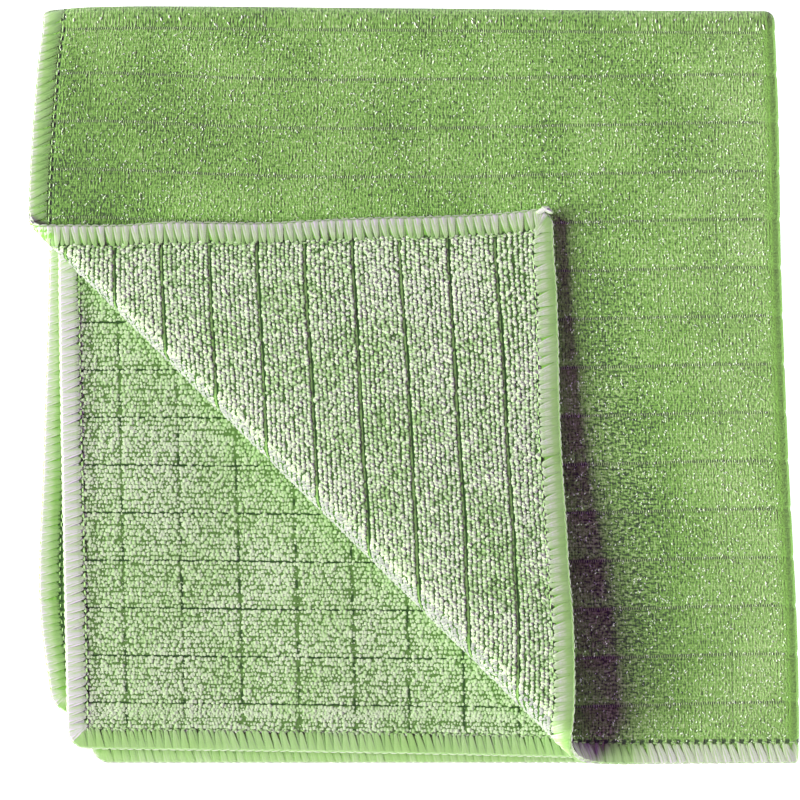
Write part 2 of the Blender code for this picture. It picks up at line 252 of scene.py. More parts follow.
@dataclass(frozen=True)
class FoldedShape:
    """Carries points of the flat cloth into its folded shape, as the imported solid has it."""

    check: Check = Check()
    thickness: float = 2.4 * MM
    layer_gap: float = 0.6 * MM
    corner_radius: float = 5 * MM
    outline_centre: tuple[float, float] = (0.17 * MM, 0.12 * MM)
    top_line: tuple = TOP_LINE
    right_silhouette_x: tuple[float, float] = (97.5 * MM, 104.1 * MM)
    right_bow: tuple = ((0, 0), (0.12, 0.15), (0.3, -0.45), (0.58, -0.25), (0.85, 0.55), (1, 0))
    turn_start: tuple[float, float] = (-101.4 * MM, 40.8 * MM)
    turn_end: tuple[float, float] = (43.3 * MM, -101.0 * MM)
    turn_radius_start: float = 2.2 * MM
    turn_radius_end: float = 5.0 * MM
    turn_settles_in: float = 95 * MM
    sag_per_square_metre: float = 12.0
    sag_most: float = 2.1 * MM

    @property
    def layer_pitch(self) -> float:
        """From the middle of one layer to the middle of the next."""
        return self.thickness + self.layer_gap

    @property
    def fold_radius(self) -> float:
        """Radius of the first fold, to the middle of the cloth."""
        return self.layer_pitch / 2

    @property
    def first_reach(self) -> float:
        """How far the first fold's bend reaches over the flat cloth, on each side."""
        return math.pi / 2 * self.fold_radius

    @property
    def second_reach(self) -> float:
        """How far the second fold's bend reaches over the flat cloth, on each side."""
        return math.pi * self.fold_radius

    @property
    def stack_centre(self) -> float:
        """Height of the second fold's axis."""
        return 2 * self.layer_pitch - self.layer_gap / 2

    @property
    def top_layer_from(self) -> float:
        """Height over which every point belongs to the top layer."""
        return self.stack_centre + 2 * self.fold_radius

    def lay_out(self, across: Array, along: Array) -> tuple[Array, Array]:
        """Lays points down in plan.

        Args:
            across: Distances from the first fold.
            along: Distances from the second fold.

        Returns:
            X and Y once the cloth is folded in quarters, before the folds are rounded.
        """
        half = self.check.half_side
        over = self.fold_radius + self.thickness / 2
        right_x = [x - over for x in self.right_silhouette_x]
        s = np.clip((np.abs(across) - self.first_reach) / (half - self.first_reach), 0, None)
        t = np.clip((np.abs(along) - self.second_reach) / (half - self.second_reach), 0, None)
        top_y = MM * smooth_curve(self.top_line, s) - self.stack_centre
        x, y = np.zeros_like(s), np.zeros_like(s)
        for quarter in QUARTERS:
            here = ((across > 0) == quarter.outer) & ((along > 0) == quarter.upper)
            si, ti = s[here], t[here]
            right = right_x[0] + (right_x[1] - right_x[0]) * ti + MM * smooth_curve(self.right_bow, ti)
            x[here] = right + (quarter.left(ti) - right) * si
            y[here] = top_y[here] + (quarter.bottom(si) - top_y[here]) * ti
        return x, y

    def in_quarters(self, across: Array, along: Array, up: Array) -> tuple[Array, Array, Array]:
        """Folds points twice, before the free corner is turned back.

        Args:
            across: Distances from the first fold.
            along: Distances from the second fold.
            up: Heights over the middle of the cloth.

        Returns:
            X, Y and Z.
        """
        x, y = self.lay_out(across, along)
        turn = math.pi / 2 * (1 - np.clip(across / self.first_reach, -1, 1))
        x = x + (self.fold_radius + up) * np.sin(turn)
        radius = 2 * self.fold_radius + (self.fold_radius + up) * np.cos(turn)
        turn = math.pi / 2 * (1 - np.clip(along / self.second_reach, -1, 1))
        return x, y + radius * np.sin(turn), self.stack_centre + radius * np.cos(turn)

    @property
    def turn_line(self) -> tuple[Array, Array, float]:
        """The roll's outer line: where it starts, the direction that it runs in, and its length."""
        start, end = np.array(self.turn_start), np.array(self.turn_end)
        length = np.linalg.norm(end - start)
        return start, (end - start) / length, length

    def turn_offset(self, x: Array, y: Array) -> tuple[Array, Array]:
        """How far points lie past the roll's outer line, and their share of the way along it."""
        start, ahead, length = self.turn_line
        past = (x - start[0]) * ahead[1] - (y - start[1]) * ahead[0]
        return past, ((x - start[0]) * ahead[0] + (y - start[1]) * ahead[1]) / length

    def turn_radius(self, share: Array) -> Array:
        """Radius of the roll at these shares of its length."""
        return self.turn_radius_start + (self.turn_radius_end - self.turn_radius_start) * np.clip(share, 0, 1)

    def turn_back(self, x: Array, y: Array, z: Array) -> tuple[Array, Array, Array]:
        """Turns what lies past the roll's line over the roll, and lets it settle on the top layer.

        Args:
            x: X of points of the top layer.
            y: Their Y.
            z: Their Z.

        Returns:
            X, Y and Z once the corner is turned back.
        """
        layer_middle = self.stack_centre + 3 * self.fold_radius
        up = z - layer_middle
        past, share = self.turn_offset(x, y)
        radius = self.turn_radius(share)
        turned = past + radius + self.thickness / 2
        angle = np.clip(turned / radius, 0, math.pi)
        beyond = np.clip(turned - math.pi * radius, 0, None)
        rise = self.layer_pitch + (2 * radius - self.layer_pitch) * (1 - ease(beyond / self.turn_settles_in))
        middle = np.where(angle < math.pi, radius * (1 - np.cos(angle)), rise)
        moved = np.where(turned > 0, (radius - up) * np.sin(angle) - beyond - turned, 0)
        ahead = self.turn_line[1]
        z = layer_middle + np.where(turned > 0, middle + up * np.cos(angle), up)
        return x + ahead[1] * moved, y - ahead[0] * moved, z

    def sag(self, x: Array, y: Array) -> Array:
        """How far the upper layers come down past the lower edge of the lowest layer.

        Args:
            x: X of their points.
            y: Y of their points.

        Returns:
            Heights to take away.
        """
        lowest = QUARTERS[-1]
        right_x = self.right_silhouette_x[1] - self.fold_radius - self.thickness / 2
        s = np.clip((right_x - x) / (right_x - lowest.bottom_left[0]), 0, 1)
        past = np.clip(lowest.bottom(s) - y, 0, None)
        return np.minimum(self.sag_per_square_metre * past**2, self.sag_most)

    def settle(self, points: Array, top: Array, lowest: Array) -> Array:
        """Turns the corner back, lets the upper layers sag, and puts the outline's middle at the origin.

        Args:
            points: Points of the cloth folded in quarters, one row each.
            top: Which of them are in the top layer.
            lowest: Which of them are in the lowest layer.

        Returns:
            The finished points, one row each.
        """
        x, y, z = points.T.copy()
        x[top], y[top], z[top] = self.turn_back(x[top], y[top], z[top])
        z = np.where(lowest, z, z - self.sag(x, y))
        return np.stack([x - self.outline_centre[0], y - self.outline_centre[1], z], axis=1)

    def place(self, points: Array) -> Array:
        """Carries points of the flat cloth, one (across, along, up) row each, into the folded shape."""
        across, along, _ = points.T
        folded = np.stack(self.in_quarters(*points.T), axis=1)
        return self.settle(folded, (across > 0) & (along > 0), (across > 0) & (along < 0))

    def plan_past_turn(self, across: Array, along: Array) -> Array:
        """How far past the roll's outer line points of the flat cloth are laid in plan."""
        return self.turn_offset(*self.lay_out(across, along))[0]

    def round_corners(self, across: Array, along: Array) -> tuple[Array, Array]:
        """Draws the square's corners in to quarter circles.

        Args:
            across: Distances from the first fold.
            along: Distances from the second fold.

        Returns:
            Both distances once the corners are round.
        """
        inner = self.check.half_side - self.corner_radius
        a, b = np.clip(np.abs(across) - inner, 0, None), np.clip(np.abs(along) - inner, 0, None)
        in_corner = (a > 0) & (b > 0)
        scale = np.where(in_corner, np.maximum(a, b) / np.maximum(np.hypot(a, b), 1e-9), 1)
        across = np.where(in_corner, np.sign(across) * (inner + a * scale), across)
        along = np.where(in_corner, np.sign(along) * (inner + b * scale), along)
        return across, along


@dataclass(frozen=True)
class Surface:
    """The relief of the cloth's two faces on the flat cloth."""

    shape: FoldedShape
    ground_depth: float = 0.6 * MM
    hidden_depth: float = 1.1 * MM
    seam_width: float = 5.2 * MM
    seam_core: float = 0.84 * MM
    rim_share: float = 0.4
    seam_edge: float = 0.6
    rim_rounding: float = 1 * MM
    needle_groove: float = 0.12 * MM
    groove_inside: float = 0.3 * MM
    groove_half_width: float = 1 * MM
    strong_depth: float = 0.24 * MM
    weak_depth: float = 0.12 * MM
    smooth_weak_depth: float = 0.015 * MM
    band_width: float = 0.6 * MM
    band_rise: float = 0.2 * MM
    ground_dip_share: float = 0.5
    loft: float = 0.22 * MM
    loft_lengths: tuple[float, float] = (61 * MM, 47 * MM)
    wave_rise: float = 0.5 * MM
    wave_length: float = 47 * MM
    wave_from: float = 84.6 * MM
    pile_behind_roll: float = 4 * MM

    def from_rim(self, across: Array, along: Array) -> Array:
        """How far points lie inside the rim."""
        return self.shape.check.half_side - np.maximum(np.abs(across), np.abs(along))

    def inland(self, across: Array, along: Array) -> Array:
        """0 up to the seam's inner edge, and 1 from as far again inside it."""
        return ease(self.from_rim(across, along) / self.seam_width - 1)

    def swell(self, across: Array, along: Array) -> Array:
        """The pile's uneven loft, as a height that is never over 0.

        Args:
            across: Distances from the first fold.
            along: Distances from the second fold.

        Returns:
            Its heights there.
        """
        x, y = self.shape.lay_out(across, along)
        in_x, in_y = self.loft_lengths
        waves = np.sin(2 * math.pi * x / in_x) * np.cos(2 * math.pi * y / in_y)
        return self.loft / 2 * (waves - 1) * self.inland(across, along)

    def waves(self, across: Array, along: Array) -> Array:
        """The low waves of the layer under the turned corner, as a height that is never over 0."""
        x = self.shape.lay_out(across, along)[0] + self.wave_from
        rise = self.wave_rise / 2 * (np.sin(2 * math.pi * x / self.wave_length) - 1)
        return rise * self.inland(across, along)

    def pile_shows(self, across: Array, along: Array) -> Array:
        """Where the pile side can be seen: on the turned corner, and on the layer it uncovers."""
        hidden = -self.shape.turn_radius_end - self.pile_behind_roll
        return (along > 0) & (self.shape.plan_past_turn(across, along) > hidden)

    def height(self, across: Array, along: Array, side: Side) -> Array:
        """The height of one face over the middle of the cloth.

        Args:
            across: Distances from the first fold.
            along: Distances from the second fold.
            side: Which face.

        Returns:
            Heights, below 0 on the pile side.
        """
        check = self.shape.check
        past_weak, past_strong = check.distances(across, along)
        weak, strong = np.abs(past_weak), np.abs(past_strong)
        from_rim = self.from_rim(across, along)
        inside = ease(from_rim / self.seam_width - self.seam_edge)
        off_groove = np.abs(from_rim - self.seam_width - self.groove_inside)
        flat_bend = (np.abs(along) > self.shape.second_reach) & (np.abs(across) > self.shape.first_reach)
        dips = self.strong_depth * (1 - ease(strong / check.strong_half_width))
        weak_depth = self.weak_depth if side is Side.PILE else self.smooth_weak_depth
        dips = np.maximum(dips, weak_depth * (1 - ease(weak / check.weak_half_width)))
        if side is Side.SMOOTH:
            floor = (across > 0) & (along < 0)
            full = self.shape.thickness / 2
            relief = np.where(floor, 0, self.swell(across, along) * flat_bend - dips)
        else:
            full = np.where(self.pile_shows(across, along), self.ground_depth, self.hidden_depth)
            band = 1 - ease(np.abs(past_strong / self.band_width - 0.5) * 2)
            turned = across > 0
            relief = self.band_rise * band * turned + ~turned * self.waves(across, along)
            relief = relief - self.ground_dip_share * dips
        pressed = self.needle_groove * step(off_groove, self.groove_half_width, 0) * flat_bend
        core = self.seam_core * (self.rim_share + (1 - self.rim_share) * ease(from_rim / self.rim_rounding))
        return side.value * (core + (full + relief - core) * inside - pressed)


def add_object(name: str, data: ID) -> Object:
    """Puts a mesh, light or camera in the scene as an object at the origin."""
    made = bpy.data.objects.new(name, data)
    bpy.context.scene.collection.objects.link(made)
    return made


def shade_smooth(mesh: Mesh) -> None:
    """Shades all of a mesh's faces smooth."""
    mesh.polygons.foreach_set("use_smooth", np.ones(len(mesh.polygons), bool))


def points_of(mesh: Mesh) -> Array:
    """A mesh's vertices, one row each."""
    flat = np.empty(len(mesh.vertices) * 3, np.float32)
    mesh.vertices.foreach_get("co", flat)
    return flat.reshape(-1, 3).astype(float)


def set_points(mesh: Mesh, points: Array) -> None:
    """Moves a mesh's vertices to these rows."""
    mesh.vertices.foreach_set("co", points.astype(np.float32).ravel())
    mesh.update()


class Value:
    """A node's output that takes part in arithmetic, each step of which adds a Math node."""

    def __init__(self, graph: "Graph", socket: NodeSocket) -> None:
        """Wraps this output of one of the graph's nodes."""
        self.graph, self.socket = graph, socket

    def __add__(self, other: object) -> "Value":
        """The sum."""
        return self.graph.math("ADD", self, other)

    def __sub__(self, other: object) -> "Value":
        """The difference."""
        return self.graph.math("SUBTRACT", self, other)

    def __rsub__(self, other: float) -> "Value":
        """How far it is under a number."""
        return self.graph.math("SUBTRACT", other, self)

    def __mul__(self, other: object) -> "Value":
        """The product."""
        return self.graph.math("MULTIPLY", self, other)

    def __truediv__(self, other: object) -> "Value":
        """The quotient."""
        return self.graph.math("DIVIDE", self, other)

    def __abs__(self) -> "Value":
        """The value without its sign."""
        return self.graph.math("ABSOLUTE", self)


class Graph:
    """Writes the nodes of one tree."""

    def __init__(self, tree: NodeTree) -> None:
        """Starts on this tree."""
        self.tree = tree

    def set(self, socket: NodeSocket, value: object) -> None:
        """Sets an input to a plain value, or links it to another node's output.

        Args:
            socket: The input.
            value: The plain value, or the output.
        """
        if isinstance(value, Value):
            self.tree.links.new(value.socket, socket)
        else:
            socket.default_value = value

    def dress(self, node: Node, inputs: dict) -> None:
        """Sets a node's inputs, by their name or number."""
        for name, value in inputs.items():
            self.set(node.inputs[name], value)

    def add(self, kind: str, output: str | int = 0, inputs: dict | None = None, **settings: object) -> Value:
        """Adds a node.

        Args:
            kind: The node's type.
            output: Which of its outputs is wanted.
            inputs: Plain values or other nodes' outputs, by the input's name or number.
            settings: The node's own settings.

        Returns:
            That output.
        """
        made = self.tree.nodes.new(kind)
        for name, value in settings.items():
            setattr(made, name, value)
        self.dress(made, inputs or {})
        return Value(self, made.outputs[output])

    def group(self, tree: NodeTree, **inputs: object) -> dict[str, Value]:
        """Adds a node group.

        Args:
            tree: The group.
            inputs: Plain values or other nodes' outputs, by the input's name.

        Returns:
            The group's outputs by name.
        """
        made = self.tree.nodes.new("ShaderNodeGroup")
        made.node_tree = tree
        self.dress(made, inputs)
        return {name: Value(self, socket) for name, socket in made.outputs.items()}

    def given(self) -> dict[str, Value]:
        """What a group is given, by name."""
        start = self.tree.nodes.new("NodeGroupInput")
        return {name: Value(self, socket) for name, socket in start.outputs.items()}

    def math(self, operation: str, *values: object) -> Value:
        """The output of a Math node with these inputs."""
        return self.add("ShaderNodeMath", 0, dict(enumerate(values)), operation=operation)

    def vector_math(self, operation: str, output: str | int, *values: object) -> Value:
        """An output of a Vector Math node with these inputs."""
        return self.add("ShaderNodeVectorMath", output, dict(enumerate(values)), operation=operation)

    def axes(self, vector: Value) -> list[Value]:
        """The vector's X, Y and Z."""
        apart = self.add("ShaderNodeSeparateXYZ", 0, {0: vector}).socket.node
        return [Value(self, socket) for socket in apart.outputs]

    def uv(self, name: str) -> Value:
        """The UV map of this name."""
        return self.add("ShaderNodeUVMap", uv_map=name)

    def sine(self, value: Value, period: float = 1.0) -> Value:
        """The sine that goes round once per period."""
        return self.math("SINE", value * (2 * math.pi / period))

    def ramp(self, value: Value, low: float, high: float) -> Value:
        """Goes smoothly from 0 to 1 as the value goes from low to high."""
        inputs = {"Value": value, "From Min": low, "From Max": high}
        return self.add("ShaderNodeMapRange", 0, inputs, interpolation_type="SMOOTHSTEP")

    def mix(self, share: Value, first: object, second: object) -> Value:
        """The colour that this share of the second, over the first, makes."""
        return self.add("ShaderNodeMix", 2, {0: share, 6: first, 7: second}, data_type="RGBA")

    def patch(self, place: Value, middle: tuple, shrink: tuple) -> Value:
        """A soft oval round this middle, from 1 in it to 0 past it."""
        off = self.vector_math("MULTIPLY", 0, self.vector_math("SUBTRACT", 0, place, middle), shrink)
        return self.ramp(self.vector_math("LENGTH", "Value", off), 1.0, 0.2)

    def noise(self, vector: Value, scale: float, detail: float = 2.0, stretch: tuple | None = None) -> Value:
        """Adds a Noise texture.

        Args:
            vector: Where it is read.
            scale: How fine it is.
            detail: How many finer layers it has.
            stretch: What the vector is multiplied by first, if anything.

        Returns:
            Its value.
        """
        if stretch:
            vector = self.vector_math("MULTIPLY", 0, vector, stretch)
        inputs = {"Vector": vector, "Scale": scale, "Detail": detail, "Roughness": 0.55}
        return self.add("ShaderNodeTexNoise", "Fac", inputs)

    def bump(self, height: Value, depth: float, strength: float) -> Value:
        """The normal that these heights, up to this depth, give."""
        return self.add("ShaderNodeBump", 0, {"Height": height, "Distance": depth, "Strength": strength})


def new_group(name: str, vector: str, floats: tuple, outputs: tuple) -> tuple[Graph, dict, Node]:
    """Starts a shader node group.

    Args:
        name: The group's name.
        vector: Name of its one vector input.
        floats: Names of its other inputs.
        outputs: Names of its outputs.

    Returns:
        Its graph, what it is given, by name, and its output node.
    """
    tree = bpy.data.node_groups.new(name, "ShaderNodeTree")
    tree.interface.new_socket(vector, in_out="INPUT", socket_type="NodeSocketVector")
    for names, way in ((floats, "INPUT"), (outputs, "OUTPUT")):
        for socket in names:
            tree.interface.new_socket(socket, in_out=way, socket_type="NodeSocketFloat")
    graph = Graph(tree)
    return graph, graph.given(), tree.nodes.new("NodeGroupOutput")


def check_lines_group(check: Check) -> NodeTree:
    """Group that gives the distance in millimetres to the nearest weak and strong line of the check.


    Returns:
        The group, which also says on which side of the strong line a place lies.
    """
    graph, given, end = new_group("check lines", "Cells", ("Waver",), ("Weak", "Strong", "Past Strong"))
    weak, strong, _ = graph.axes(given["Cells"])
    wander = (graph.noise(given["Cells"], 2.3) - 0.5) * given["Waver"]
    past = []
    for line, pitch in ((weak, check.weak_pitch), (strong, check.strong_pitch)):
        count = line + wander
        past.append((count - graph.math("ROUND", count)) * (pitch / MM))
    graph.dress(end, {"Weak": abs(past[0]), "Strong": abs(past[1]), "Past Strong": past[1]})
    return graph.tree


def rim_stitches_group() -> NodeTree:
    """Group that gives the greater of X and Y on the flat cloth, and a wave once round per stitch.

    Returns:
        The group.
    """
    graph, given, end = new_group("rim stitches", "Flat", ("Pitch",), ("Reach", "Wave"))
    sideways, lengthways, _ = (abs(axis) for axis in graph.axes(given["Flat"]))
    turns = graph.math("MINIMUM", sideways, lengthways) / given["Pitch"]
    graph.dress(end, {"Reach": graph.math("MAXIMUM", sideways, lengthways), "Wave": graph.sine(turns)})
    return graph.tree


def filaments_group() -> NodeTree:
    """Group for the fine filaments that run along a thread or a loop.

    Returns:
        The group, with their shade and height.
    """
    graph, given, end = new_group("filaments", "Strand", ("Count", "Twist"), ("Shade", "Height"))
    along, around, _ = graph.axes(given["Strand"])
    wave = graph.sine((around + along * given["Twist"]) * given["Count"])
    height = wave * 0.25 + graph.noise(given["Strand"], 9.0, 3.0)
    graph.dress(end, {"Height": height, "Shade": graph.ramp(height, 0.15, 0.85)})
    return graph.tree


def drift_group() -> NodeTree:
    """Group for the slow drift of colour over the cloth, from 0 to 1.

    Returns:
        The group.
    """
    graph, given, end = new_group("colour drift", "Place", ("Patches",), ("Drift",))
    inputs = {"Vector": given["Place"], "Scale": given["Patches"], "Detail": 3.0}
    graph.dress(end, {"Drift": graph.ramp(graph.add("ShaderNodeTexNoise", "Fac", inputs), 0.35, 0.65)})
    return graph.tree


def new_material(name: str) -> tuple[Material, Graph, Node]:
    """Starts a material, and gives it with its graph and its Principled shader."""
    material = bpy.data.materials.new(name)
    material.use_nodes = True
    return material, Graph(material.node_tree), material.node_tree.nodes["Principled BSDF"]


@dataclass(frozen=True)
class FlatFinish:
    """What the smooth side and the pile's ground share: where their seam and its stitches lie."""

    half_side: float
    stitch_pitch: float = 2.35
    # Painted highlight: a paler seam along the inner half's rim that faces the key light.
    seam_highlight: Colour = (0.42, 0.5, 0.34, 1)
    seam_highlight_rim: tuple[float, float] = (9, 4)

    def rim(self, graph: Graph, flat: Value, rim_group: NodeTree) -> tuple[Value, Value, Value]:
        """Measures from the rim.

        Args:
            graph: The material's graph.
            flat: Places on the flat cloth.
            rim_group: The group that counts stitches.

        Returns:
            How far places lie inside the rim, the stitches' wave, and 1 at the inner half's painted highlight
            on the seam.
        """
        rim = graph.group(rim_group, Flat=flat, Pitch=self.stitch_pitch)
        half = self.half_side / MM
        pale = graph.ramp(graph.axes(flat)[0], self.seam_highlight_rim[0] - half, self.seam_highlight_rim[1] - half)
        return half - rim["Reach"], rim["Wave"], pale


@dataclass(frozen=True)
class KnitFinish(FlatFinish):
    """The smooth knitted side: fine wales and courses, and the check's dashes."""

    groove_at: float = 5.8
    # Painted shade of a dip by the top layer's left seam: its middle and how fast it fades.
    dip_shade_middle: tuple[float, float, float] = (192.0, 44.0, 0.0)
    dip_shade_shrink: tuple[float, float, float] = (0.038, 0.026, 1.0)
    # Painted light and shade in the turned corner's cast shadow: its middle, how fast it fades, and the
    # specks' stretch.
    shadow_speck_middle: tuple[float, float, float] = (46.0, 140.0, 0.0)
    shadow_speck_shrink: tuple[float, float, float] = (0.055, 0.01, 1.0)
    shadow_speck_stretch: tuple[float, float, float] = (0.7, 1.6, 1.0)
    streak_stretch: tuple[float, float, float] = (2.2, 0.8, 1.0)
    pale_at: float = 10.0
    pale_reach: float = 22.0
    pale_share: float = 0.12
    bend_mm: float = 4.5
    ragged: float = 3.4
    wale_pitch: float = 0.9
    course_pitch: float = 0.72
    dash_pitch: float = 0.6
    wale_rise: float = 0.045
    course_rise: float = 0.03
    grain_rise: float = 0.8
    streak_rise: float = 1.2
    faint_share: float = 0.3
    fence_share: float = 0.6
    dark: Colour = (0.04, 0.085, 0.02, 1)
    mid: Colour = (0.158, 0.375, 0.045, 1)
    light: Colour = (0.36, 0.57, 0.18, 1)
    seam: Colour = (0.16, 0.43, 0.04, 1)
    sheen: float = 0.12
    roughness: float = 0.85
    relief: float = 0.45 * MM

    def build(
        self, check_lines: NodeTree, drift: NodeTree, rim_group: NodeTree
    ) -> Material:
        """Makes the material.

        Args:
            drift: The group for slow colour drift.
            rim_group: The group that measures from the rim and counts its stitches.

        Returns:
            The material.
        """
        material, graph, shader = new_material("smooth knit")
        flat = graph.uv("flat")
        x, y, _ = graph.axes(flat)
        ragged = (graph.noise(flat, 0.55) - 0.5) * (self.ragged / (2 * math.pi))
        wale, course, fence = (
            graph.sine(axis / pitch + ragged)
            for axis, pitch in ((x, self.wale_pitch), (y, self.course_pitch), (x, self.dash_pitch))
        )
        streak = graph.noise(flat, 1.0, 3.0, self.streak_stretch)
        grain = graph.noise(flat, 1.9, 3.0)
        height = wale * self.wale_rise + course * self.course_rise
        height = height + grain * self.grain_rise + streak * self.streak_rise
        slow = graph.group(drift, Place=flat, Patches=0.045)["Drift"]
        # Painted shade: a darker, speckled patch by the top layer's left seam, where the surface dips away
        # from the light.
        dip_shade = graph.patch(flat, self.dip_shade_middle, self.dip_shade_shrink)
        specks = graph.ramp(grain, 0.45, 0.6) * 0.2 + 0.04
        # Painted light and shade: darker specks, and a few lighter ones, over the turned corner's cast shadow
        # and its soft edge.
        in_corner_shadow = graph.patch(flat, self.shadow_speck_middle, self.shadow_speck_shrink)
        shadow_specks = graph.ramp(graph.noise(flat, 1.0, 3.0, self.shadow_speck_stretch), 0.4, 0.62) * 0.42 - 0.12
        by_fold = graph.ramp(abs(x - self.pale_at), self.pale_reach, 0.0)
        level = height + slow * 0.1 - 0.05 - dip_shade * specks - in_corner_shadow * shadow_specks + by_fold * 0.04
        colour = graph.mix(graph.ramp(level, 0.72, 1.0), self.dark, self.mid)
        colour = graph.mix(graph.ramp(level, 0.98, 1.3), colour, self.light)
        colour = graph.mix(by_fold * self.pale_share, colour, self.light)
        colour = graph.mix(graph.ramp(abs(x), self.bend_mm, self.bend_mm - 2.5), colour, self.mid)
        lines = graph.group(check_lines, Cells=graph.uv("cells"), Waver=0.03)
        on_line = graph.ramp(lines["Strong"], 0.44, 0.22) * graph.ramp(abs(x), 2.5, 5.5)
        fade = graph.ramp(graph.noise(flat, 0.1, 1.0), 0.38, 0.55)
        dash = on_line * graph.ramp(fence, 0.0, 0.5) * (fade * 0.3 + 0.75)
        faint = graph.ramp(lines["Weak"], 0.5, 0.15) * graph.ramp(grain, 0.42, 0.6)
        dark = graph.math("MAXIMUM", dash, faint * self.faint_share)
        colour = graph.mix(graph.ramp(fence, -0.2, -0.7) * on_line * self.fence_share, colour, self.light)
        inside, wave, pale = self.rim(graph, flat, rim_group)
        # Painted shade: dark dots at the needle holes along the seam, one a stitch.
        needle_hole_shading = graph.ramp(abs(inside - self.groove_at), 0.9, 0.3)
        dark = graph.math("MAXIMUM", dark, needle_hole_shading * graph.ramp(grain * 1.6 + wave, 0.6, 1.1))
        colour = graph.mix(dark, colour, self.dark)
        on_seam = graph.ramp(inside, self.groove_at - 1.2, self.groove_at - 1.6)
        # The seam's own green, and its painted highlight on the inner half's lit rim.
        colour = graph.mix(on_seam, colour, graph.mix(pale, self.seam, self.seam_highlight))
        graph.dress(
            shader,
            {
                "Base Color": colour,
                "Normal": graph.bump(height - dark, self.relief, 0.8),
                "Roughness": self.roughness,
                "Sheen Weight": self.sheen,
                "Sheen Tint": SHEEN_TINT,
                "Specular IOR Level": 0.3,
            },
        )
        return material


@dataclass(frozen=True)
class GroundFinish(FlatFinish):
    """The knitted ground under the pile: dark, in the shade of the loops."""

    shade: Colour = (0.062, 0.15, 0.028, 1)
    open_shade: Colour = (0.09, 0.2, 0.038, 1)
    # The dark line's colour: painted shadow in the groove beside each strong line's bare stripe, in the weak
    # lines' gaps and at the needle holes.
    line: Colour = (0.026, 0.065, 0.016, 1)
    bare: Colour = (0.2, 0.4, 0.09, 1)
    seam: Colour = (0.17, 0.42, 0.055, 1)
    seam_mm: float = 4.5
    groove_at: float = 5.7
    band_mm: float = 0.6
    groove_shadow_mm: float = 0.45
    soft_mm: float = 0.05
    relief: float = 0.2 * MM

    def build(self, check_lines: NodeTree, rim_group: NodeTree) -> Material:
        """Makes the material, with a bare stripe where the check presses the pile flat and a painted shadow
        line beside it.

        Args:
            rim_group: The group that measures from the rim and counts its stitches.

        Returns:
            The material.
        """
        material, graph, shader = new_material("pile ground")
        flat, soft = graph.uv("flat"), self.soft_mm
        lines = graph.group(check_lines, Cells=graph.uv("cells"), Waver=0.0)
        past = lines["Past Strong"]
        stripe = graph.ramp(past, -soft, soft) * graph.ramp(past, self.band_mm + soft, self.band_mm - soft)
        turned = graph.ramp(graph.axes(flat)[0], -0.5, 0.5)
        grain = graph.noise(flat, 1.6)
        tone = stripe * (grain * 2.2 - 0.3) * turned
        # Painted shadow: the dark line beside the bare stripe, the weak lines' gaps and the needle holes.
        painted_shade = graph.ramp(past, -self.groove_shadow_mm - 2 * soft, -self.groove_shadow_mm) * graph.ramp(past, soft, 0.0)
        broken = graph.ramp(graph.noise(flat, 0.22, 1.0), 0.48, 0.56)
        weak_gap_shade = graph.ramp(lines["Weak"], 0.45, 0.3) * broken * (0.9 - turned * 0.85)
        inside, wave, pale = self.rim(graph, flat, rim_group)
        needle_hole_shade = graph.ramp(abs(inside - self.groove_at), 0.8, 0.3) * graph.ramp(grain * 1.6 + wave, 0.9, 1.4)
        painted_shade = graph.math("MAXIMUM", painted_shade, graph.math("MAXIMUM", weak_gap_shade, needle_hole_shade))
        shade = graph.mix(turned, self.open_shade, self.shade)
        colour = graph.mix(painted_shade, graph.mix(tone, shade, self.bare), self.line)
        on_seam = graph.ramp(inside, self.seam_mm + 0.2, self.seam_mm - 0.2)
        # The seam's own green, and its painted highlight on the inner half's lit rim.
        colour = graph.mix(on_seam, colour, graph.mix(pale, self.seam, self.seam_highlight))
        graph.dress(
            shader,
            {
                "Base Color": colour,
                "Normal": graph.bump(grain, self.relief, 0.7),
                "Roughness": 0.95,
                "Specular IOR Level": 0.1,
            },
        )
        return material


